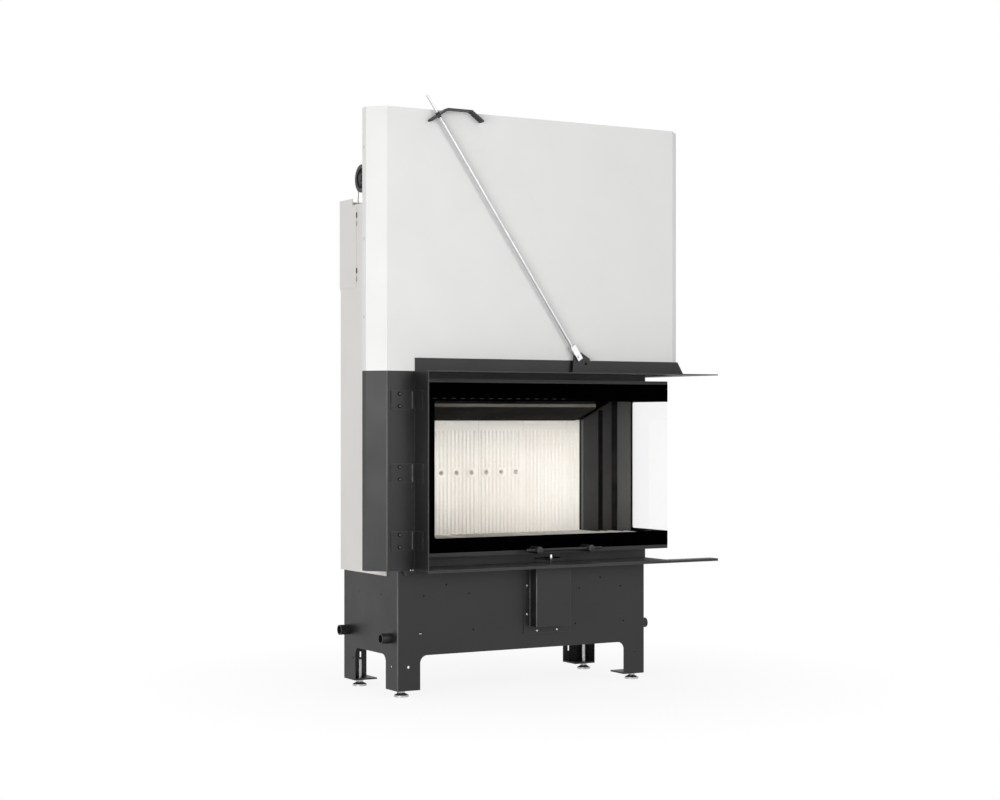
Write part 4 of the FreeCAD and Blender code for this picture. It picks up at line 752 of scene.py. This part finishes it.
def air_box_rivets():
    """Bright round heads on the flange of the air box."""
    places = [(457.0, FLANGE_FACE, 273.5), (457.0, FLANGE_FACE, 197.3), (488.0, FLANGE_FACE, 152.4),
              (550.0, FLANGE_FACE, 152.4)]
    put("air_box_rivets", heads(places, -AXIS_Y, dome(3.0, 1.3)), BRIGHT_STEEL, "housing")


def prism(loop, z):
    """Six faces of an upright prism over four corners, between two heights."""
    points = np.column_stack([np.tile(loop, (2, 1)), np.repeat(z, 4)])
    ends = np.array([[3, 2, 1, 0], [4, 5, 6, 7]])
    return points, np.vstack([ring_faces(2, 4), ends])


def block(x, y, z):
    """Six faces of a straight block, from its spans along the three axes."""
    loop = np.array([(x[0], y[0]), (x[1], y[0]), (x[1], y[1]), (x[0], y[1])])
    return prism(loop, z)


def rivet_nuts():
    """Blind nuts behind the drillings in the front of the base."""
    pairs = ((304.0, 260.0), (238.0, 286.0), (170.0, 260.0), (158.0, 165.0), (314.0, 165.0))
    places = [(BASE_MIDDLE + way * reach, BASE_FACE + SHEET, height)
              for reach, height in pairs for way in (-1, 1)]
    outline = np.array([[0.0, 7.0], [3.6, 7.0], [4.2, 6.4], [4.2, 0.0], [2.6, 0.0], [2.6, 6.0], [0.0, 6.0]])
    put("rivet_nuts", heads(places, AXIS_Y, outline[::-1], 16), HOLE_DARK, "housing")


def bracket_folds():
    """An upright fold on each of the three frame brackets, in lighter paint as a painted highlight."""
    parts = []
    for height in BRACKET_HEIGHTS:
        outline = np.array([[0.0, 0.0], [1.3, 0.0], [1.3, 44.0], [0.0, 44.0]])
        parts.append(turned(outline, (111.3, BRACKET_FACE, height - 22.0), AXIS_Z, 12))
    put("bracket_folds", joined(parts), HIGHLIGHT_BLACK_PAINT, "housing")


def corner_folds():
    """Rounded folds in lighter paint as a painted highlight: the front left corner of the base and the left
    corners of the air box.
    """
    runs = (((BASE_SIDE + 1.2, BASE_FACE + 1.2), 1.7, 14.0, 326.0),
            ((467.0, 41.0), 1.5, 165.5, 326.0),
            ((465.4, 72.4), 1.2, 165.5, 326.0))
    parts = []
    for (x, y), radius, low, high in runs:
        outline = np.array([[0.0, 0.0], [radius, 0.0], [radius, high - low], [0.0, high - low]])
        parts.append(turned(outline, (x, y, low), AXIS_Z, 20))
    put("corner_folds", joined(parts), HIGHLIGHT_BLACK_PAINT, "housing")


def base_stud():
    """A flat bright stud low on the front of the base."""
    stud = block((133.6, 139.8), (BASE_FACE - 1.2, BASE_FACE), (161.6, 163.6))
    put("base_stud", stud, BRIGHT_STEEL, "housing", smooth=False)


def cover_hooks():
    """Hooks that hang the cover on the casing, at its front edge: a dark tongue over a pale one."""
    across = (COVER_FACE, COVER_FACE + SHEET)
    depth = (307.4, 310.6)
    dark = [block(across, depth, (low, low + 14.0)) for low in (1254.0, 1106.0)]
    pale = [block(across, depth, (low, low + 12.0)) for low in (1233.0, 1085.0)]
    put("cover_hooks_upper", joined(dark), BLACK_PAINT, "housing", smooth=False)
    put("cover_hooks_lower", joined(pale), ZINC_SHEET, "housing", smooth=False)


def wall_strip(along, depth, z):
    """A strip on the slanted right wall: its span along the wall, its span into it and its heights."""
    lean = math.sqrt(0.5)
    across = np.array([along[0], along[1], along[1], along[0]])
    inward = np.array([depth[0], depth[0], depth[1], depth[1]]) * lean
    return prism(np.stack([BEVEL_LEFT + across + inward, LINING_FACE - across + inward], -1), z)


def wall_trim():
    """Painted shade in the groove of the right wall, a painted highlight on its rear edge and a dark block
    of painted shade in the seam beside the lining.
    """
    # painted shade: a dark strip on the floor of the groove
    painted_shade = wall_strip(BEVEL_GROOVE, (2.7, 2.95), (FLOOR_CREST, BEVEL_GROOVE_TOP))
    put("wall_groove_shade", painted_shade, HOLE_DARK, "housing", smooth=False)
    # painted highlight: a lighter strip on the wall's rear edge
    edge = wall_strip((2.0, 5.0), (-0.3, 0.1), (FLOOR_CREST, LINING_TOP))
    put("wall_edge_highlight", edge, HIGHLIGHT_BLACK_PAINT, "housing", smooth=False)
    # painted shade: a dark block in the seam between lining and wall
    seam = block(SEAM_SPAN, (LINING_FACE - 0.6, LINING_FACE), (FLOOR_CREST, LINING_TOP))
    put("lining_seam", seam, HOLE_DARK, "housing", smooth=False)


def panel_fold():
    """A painted highlight on the fold between the bevelled corner and the flat of the left panel."""
    low, high = PANEL_SPAN
    outline = np.array([[0.0, 0.0], [PANEL_FOLD_RADIUS, 0.0], [PANEL_FOLD_RADIUS, high - low],
                        [0.0, high - low]])
    fold = turned(outline, (*PANEL_FOLD, low), AXIS_Z, 20)
    put("panel_fold", fold, HIGHLIGHT_BLACK_PAINT, "housing")


def air_hole_pads():
    """Flat round pads that break the ribs round the six air holes of the rear lining."""
    bore, edge, rim, rise, foot = 6.4, 14.5, 0.6, 0.5, -3.5
    outline = np.array([[bore, foot], [edge, foot], [edge, rise - rim], [edge - rim, rise],
                        [bore + rim, rise], [bore, rise - rim], [bore, foot]])
    middle = (AIR_HOLES - 1) / 2
    places = [(AIR_HOLE_MIDDLE + AIR_HOLE_PITCH * (step - middle), LINING_FACE, AIR_HOLE_HEIGHT)
              for step in range(AIR_HOLES)]
    put("air_hole_pads", heads(places, -AXIS_Y, outline, 32), FIRE_BOARD, "housing")


def pressed_bead(x, low, high, width=14.0, rise=2.4, steps=80, across=9):
    """A pressed rib on the back panel: rise (1 - s^2) over its width, fading to nothing at both ends."""
    side = np.linspace(-1.0, 1.0, across)[None, :]
    along = np.linspace(0.0, 1.0, steps)[:, None]
    fade = np.clip(np.minimum(along, 1.0 - along) * (high - low) / width, 0.0, 1.0)
    swell = np.sin(fade * math.pi / 2)
    depth = BACK_FACE + rise * swell * (1.0 - side ** 2)
    spread = x + side * width / 2 * (0.4 + 0.6 * swell)
    rows = low + along * (high - low) + 0 * side
    points = np.stack([spread, depth, rows], -1)
    return points.reshape(-1, 3), sheet_faces(steps, across)


def back_panel():
    """Rivets round the edge of the back panel and two pressed ribs that stiffen it."""
    rows = np.array([345.0, 505.0, 665.0, 825.0, 985.0])
    columns = np.array([240.0, 395.0, 550.0, 705.0, 860.0])
    places = [(x, BACK_FACE, z) for z in rows for x in (84.0, 911.0)]
    places += [(x, BACK_FACE, z) for x in columns for z in (326.0, 1292.0)]
    places += [(911.0, BACK_FACE, z) for z in (1145.0, 1280.0)]
    places += [(90.5, BACK_FACE + SHEET, z) for z in (1095.0, 1188.0, 1281.0)]
    put("back_rivets", heads(places, AXIS_Y, dome(3.6, 1.5)), ZINC_SHEET, "housing")
    ribs = joined([pressed_bead(x, 420.0, 1200.0) for x in (318.0, 676.0)])
    put("back_ribs", ribs, CASING_PAINT, "housing")


def bracket_screw_sockets():
    """Sunk sockets in the six bracket screws, in lighter paint as a painted highlight."""
    places = [(74.0, 66.8, height + way * 16.0) for height in BRACKET_HEIGHTS for way in (-1, 1)]
    outline = np.array([[0.0, 0.0], [2.4, 0.0], [2.4, 0.12], [2.1, 0.22], [0.0, 0.05]])
    put("screw_sockets", heads(places, -AXIS_Y, outline, 6), HIGHLIGHT_BLACK_PAINT, "housing",
        smooth=False)


def foot_nuts():
    """A lock nut on each foot."""
    for row, y in FOOT_ROWS.items():
        for column, x in FOOT_COLUMNS.items():
            nut = turned(hexagon_block(17.0, 5.6, 0.8), (x, y, 10.6), AXIS_Z, 6, start=0.3)
            put(f"foot_nut_{row}_{column}", nut, FOOT_STEEL, f"foot_{row}_{column}", smooth=False)


def lever_sleeve():
    """Bright sleeve with a rounded top on the pin of the air lever."""
    outline = np.array([[2.9, 0.0], [3.4, 0.0], [3.5, 0.3], [3.5, 11.2], [3.2, 11.9], [2.4, 12.3],
                        [0.0, 12.4]])
    put("lever_sleeve", turned(outline, (526.0, 64.0, 342.2), AXIS_Z, 24), BRIGHT_STEEL, "air_lever")


def handle_caps():
    """Shallow domed caps on the two handle posts and round ends on the bar."""
    posts = [(x, 58.0, HANDLE_HEIGHT) for x in HANDLE_POSTS]
    caps = heads(posts, -AXIS_Y, dome(9.2, 1.6, 8), 28)
    ends = joined([turned(dome(4.2, 1.8), (x, 68.0, HANDLE_HEIGHT), axis, 20)
                   for x, axis in zip(HANDLE_ENDS, (-AXIS_X, AXIS_X))])
    put("handle_caps", joined([caps, ends]), BLACK_PAINT, "door")


def corner_adjusters():
    """The clip under the left panel with its hanging bolt and two bright studs."""
    clip = block((84.0, 119.0), (69.0, BASE_FACE), (322.0, 326.6))
    bolt = turned(hexagon_block(8.0, 6.0, 0.6), (92.0, 71.6, 316.2), AXIS_Z, 6)
    put("corner_clip", joined([clip, bolt]), BLACK_PAINT, "housing", smooth=False)
    studs = [turned(dome(2.2, 4.0, 6), (x, 70.6, 326.4), AXIS_Z, 16) for x in (107.0, 113.5)]
    put("corner_studs", joined(studs), BRIGHT_STEEL, "housing")


def print_gaps():
    """A row of short dull dashes in the lower edge of the upper print."""
    count = 15
    middles = 194.0 + 28.2 * np.arange(count)
    angle = np.linspace(0.0, 2 * math.pi, 16, endpoint=False)
    across = 6.5 * np.sign(np.cos(angle)) * np.abs(np.cos(angle)) ** 0.4
    up = 1.1 * np.sign(np.sin(angle)) * np.abs(np.sin(angle)) ** 0.6
    parts = []
    for middle in middles:
        rim = np.stack([middle + across, np.full(16, PANE_FACE - 0.42), 771.0 + up], -1)
        back = rim + np.array([0.0, 0.1, 0.0])
        heart = np.repeat(rim.mean(0)[None, :], 16, axis=0)
        parts.append((np.vstack([back, rim, heart]), ring_faces(3, 16)))
    put("print_gaps", joined(parts), DARKER_STEEL, "door", smooth=False)


lifting_cables()
glass_print()
air_box_rivets()
rivet_nuts()
bracket_folds()
corner_folds()
base_stud()
cover_hooks()
back_panel()
air_hole_pads()
wall_trim()
panel_fold()
bracket_screw_sockets()
foot_nuts()
lever_sleeve()
handle_caps()
corner_adjusters()
print_gaps()


# Studio


def lamp(name, place, target, width, height, power, spread=180.0):
    """A soft oblong lamp that looks from place to target, with its beam held to a spread in degrees."""
    light = bpy.data.lights.new(name, "AREA")
    light.shape = "RECTANGLE"
    light.size = width
    light.size_y = height
    light.energy = power
    light.spread = math.radians(spread)
    thing = bpy.data.objects.new(name, light)
    bpy.context.scene.collection.objects.link(thing)
    way = np.asarray(target, float) - np.asarray(place, float)
    flat = math.hypot(way[0], way[1])
    thing.location = place
    thing.rotation_euler = (math.atan2(flat, -way[2]), 0.0, math.atan2(way[1], way[0]) - math.pi / 2)


def seen_directly(g):
    """1 where the studio is seen, looked through to or reflected, 0 where it only gives light."""
    path = g.add("ShaderNodeLightPath")
    seen = g.math("MAXIMUM", path.outputs["Is Camera Ray"], path.outputs["Is Transmission Ray"])
    return g.math("MAXIMUM", seen, path.outputs["Is Glossy Ray"])


def studio_floor():
    """A pale floor that the camera sees as white, with the object's shadow left in it."""
    size = 30.0
    mesh = bpy.data.meshes.new("studio_floor")
    mesh.from_pydata([(-size, -size, 0.0), (size, -size, 0.0), (size, size, 0.0), (-size, size, 0.0)], [],
                     [(0, 1, 2, 3)])
    material = bpy.data.materials.new("pale_studio_floor")
    material.use_nodes = True
    g = Graph(material.node_tree)
    shader = material.node_tree.nodes["Principled BSDF"]
    shader.inputs["Base Color"].default_value = (0.86, 0.86, 0.86, 1.0)
    shader.inputs["Roughness"].default_value = 0.9
    shader.inputs["Specular IOR Level"].default_value = 0.0
    glow = g.add("ShaderNodeEmission")
    glow.inputs["Strength"].default_value = 1.0
    seen = seen_directly(g)
    mix = g.add("ShaderNodeMixShader")
    away = g.add("ShaderNodeVectorMath", operation="LENGTH")
    g.join(g.add("ShaderNodeTexCoord").outputs["Object"], away.inputs[0])
    share = g.spread(away.outputs["Value"], 0.4, 1.1, 0.89, 1.0)
    g.join(g.math("MULTIPLY", seen, share), mix.inputs[0])
    g.join(shader.outputs[0], mix.inputs[1])
    g.join(glow.outputs[0], mix.inputs[2])
    g.join(mix.outputs[0], material.node_tree.nodes["Material Output"].inputs["Surface"])
    mesh.materials.append(material)
    floor = bpy.data.objects.new("studio_floor", mesh)
    bpy.context.scene.collection.objects.link(floor)


def studio_world():
    """White where it is seen, reflected or looked through; a softer even light otherwise."""
    world = bpy.data.worlds.new("studio_world")
    bpy.context.scene.world = world
    world.use_nodes = True
    g = Graph(world.node_tree)
    back = world.node_tree.nodes["Background"]
    back.inputs["Color"].default_value = (1.0, 1.0, 1.0, 1.0)
    seen = seen_directly(g)
    g.join(g.spread(seen, 0.0, 1.0, 0.5, 1.0), back.inputs["Strength"])


def studio_camera():
    """Level camera, turned 30 degrees to the left of straight on."""
    lens = bpy.data.cameras.new("studio_camera")
    lens.lens = 70.0
    lens.sensor_width = 36.0
    lens.shift_y = 0.019
    lens.clip_end = 100.0
    thing = bpy.data.objects.new("studio_camera", lens)
    bpy.context.scene.collection.objects.link(thing)
    thing.location = (-2.7103, -4.5915, 0.717)
    thing.rotation_euler = (math.radians(90.0), 0.0, math.radians(-30.0))
    bpy.context.scene.camera = thing


studio_floor()
studio_world()
studio_camera()
lamp("left_softbox", (-3.6, -2.3, 1.0), (-0.1, 0.0, 0.9), 2.2, 1.9, 72.0)
lamp("front_softbox", (1.1, -4.2, 1.8), (0.0, 0.0, 0.8), 2.4, 2.4, 42.0)
lamp("chamber_beam", (-0.6, -3.4, 0.60), (0.0, 0.15, 0.57), 0.74, 0.3, 0.42, spread=7.0)

bpy.context.scene.view_settings.view_transform = "Standard"
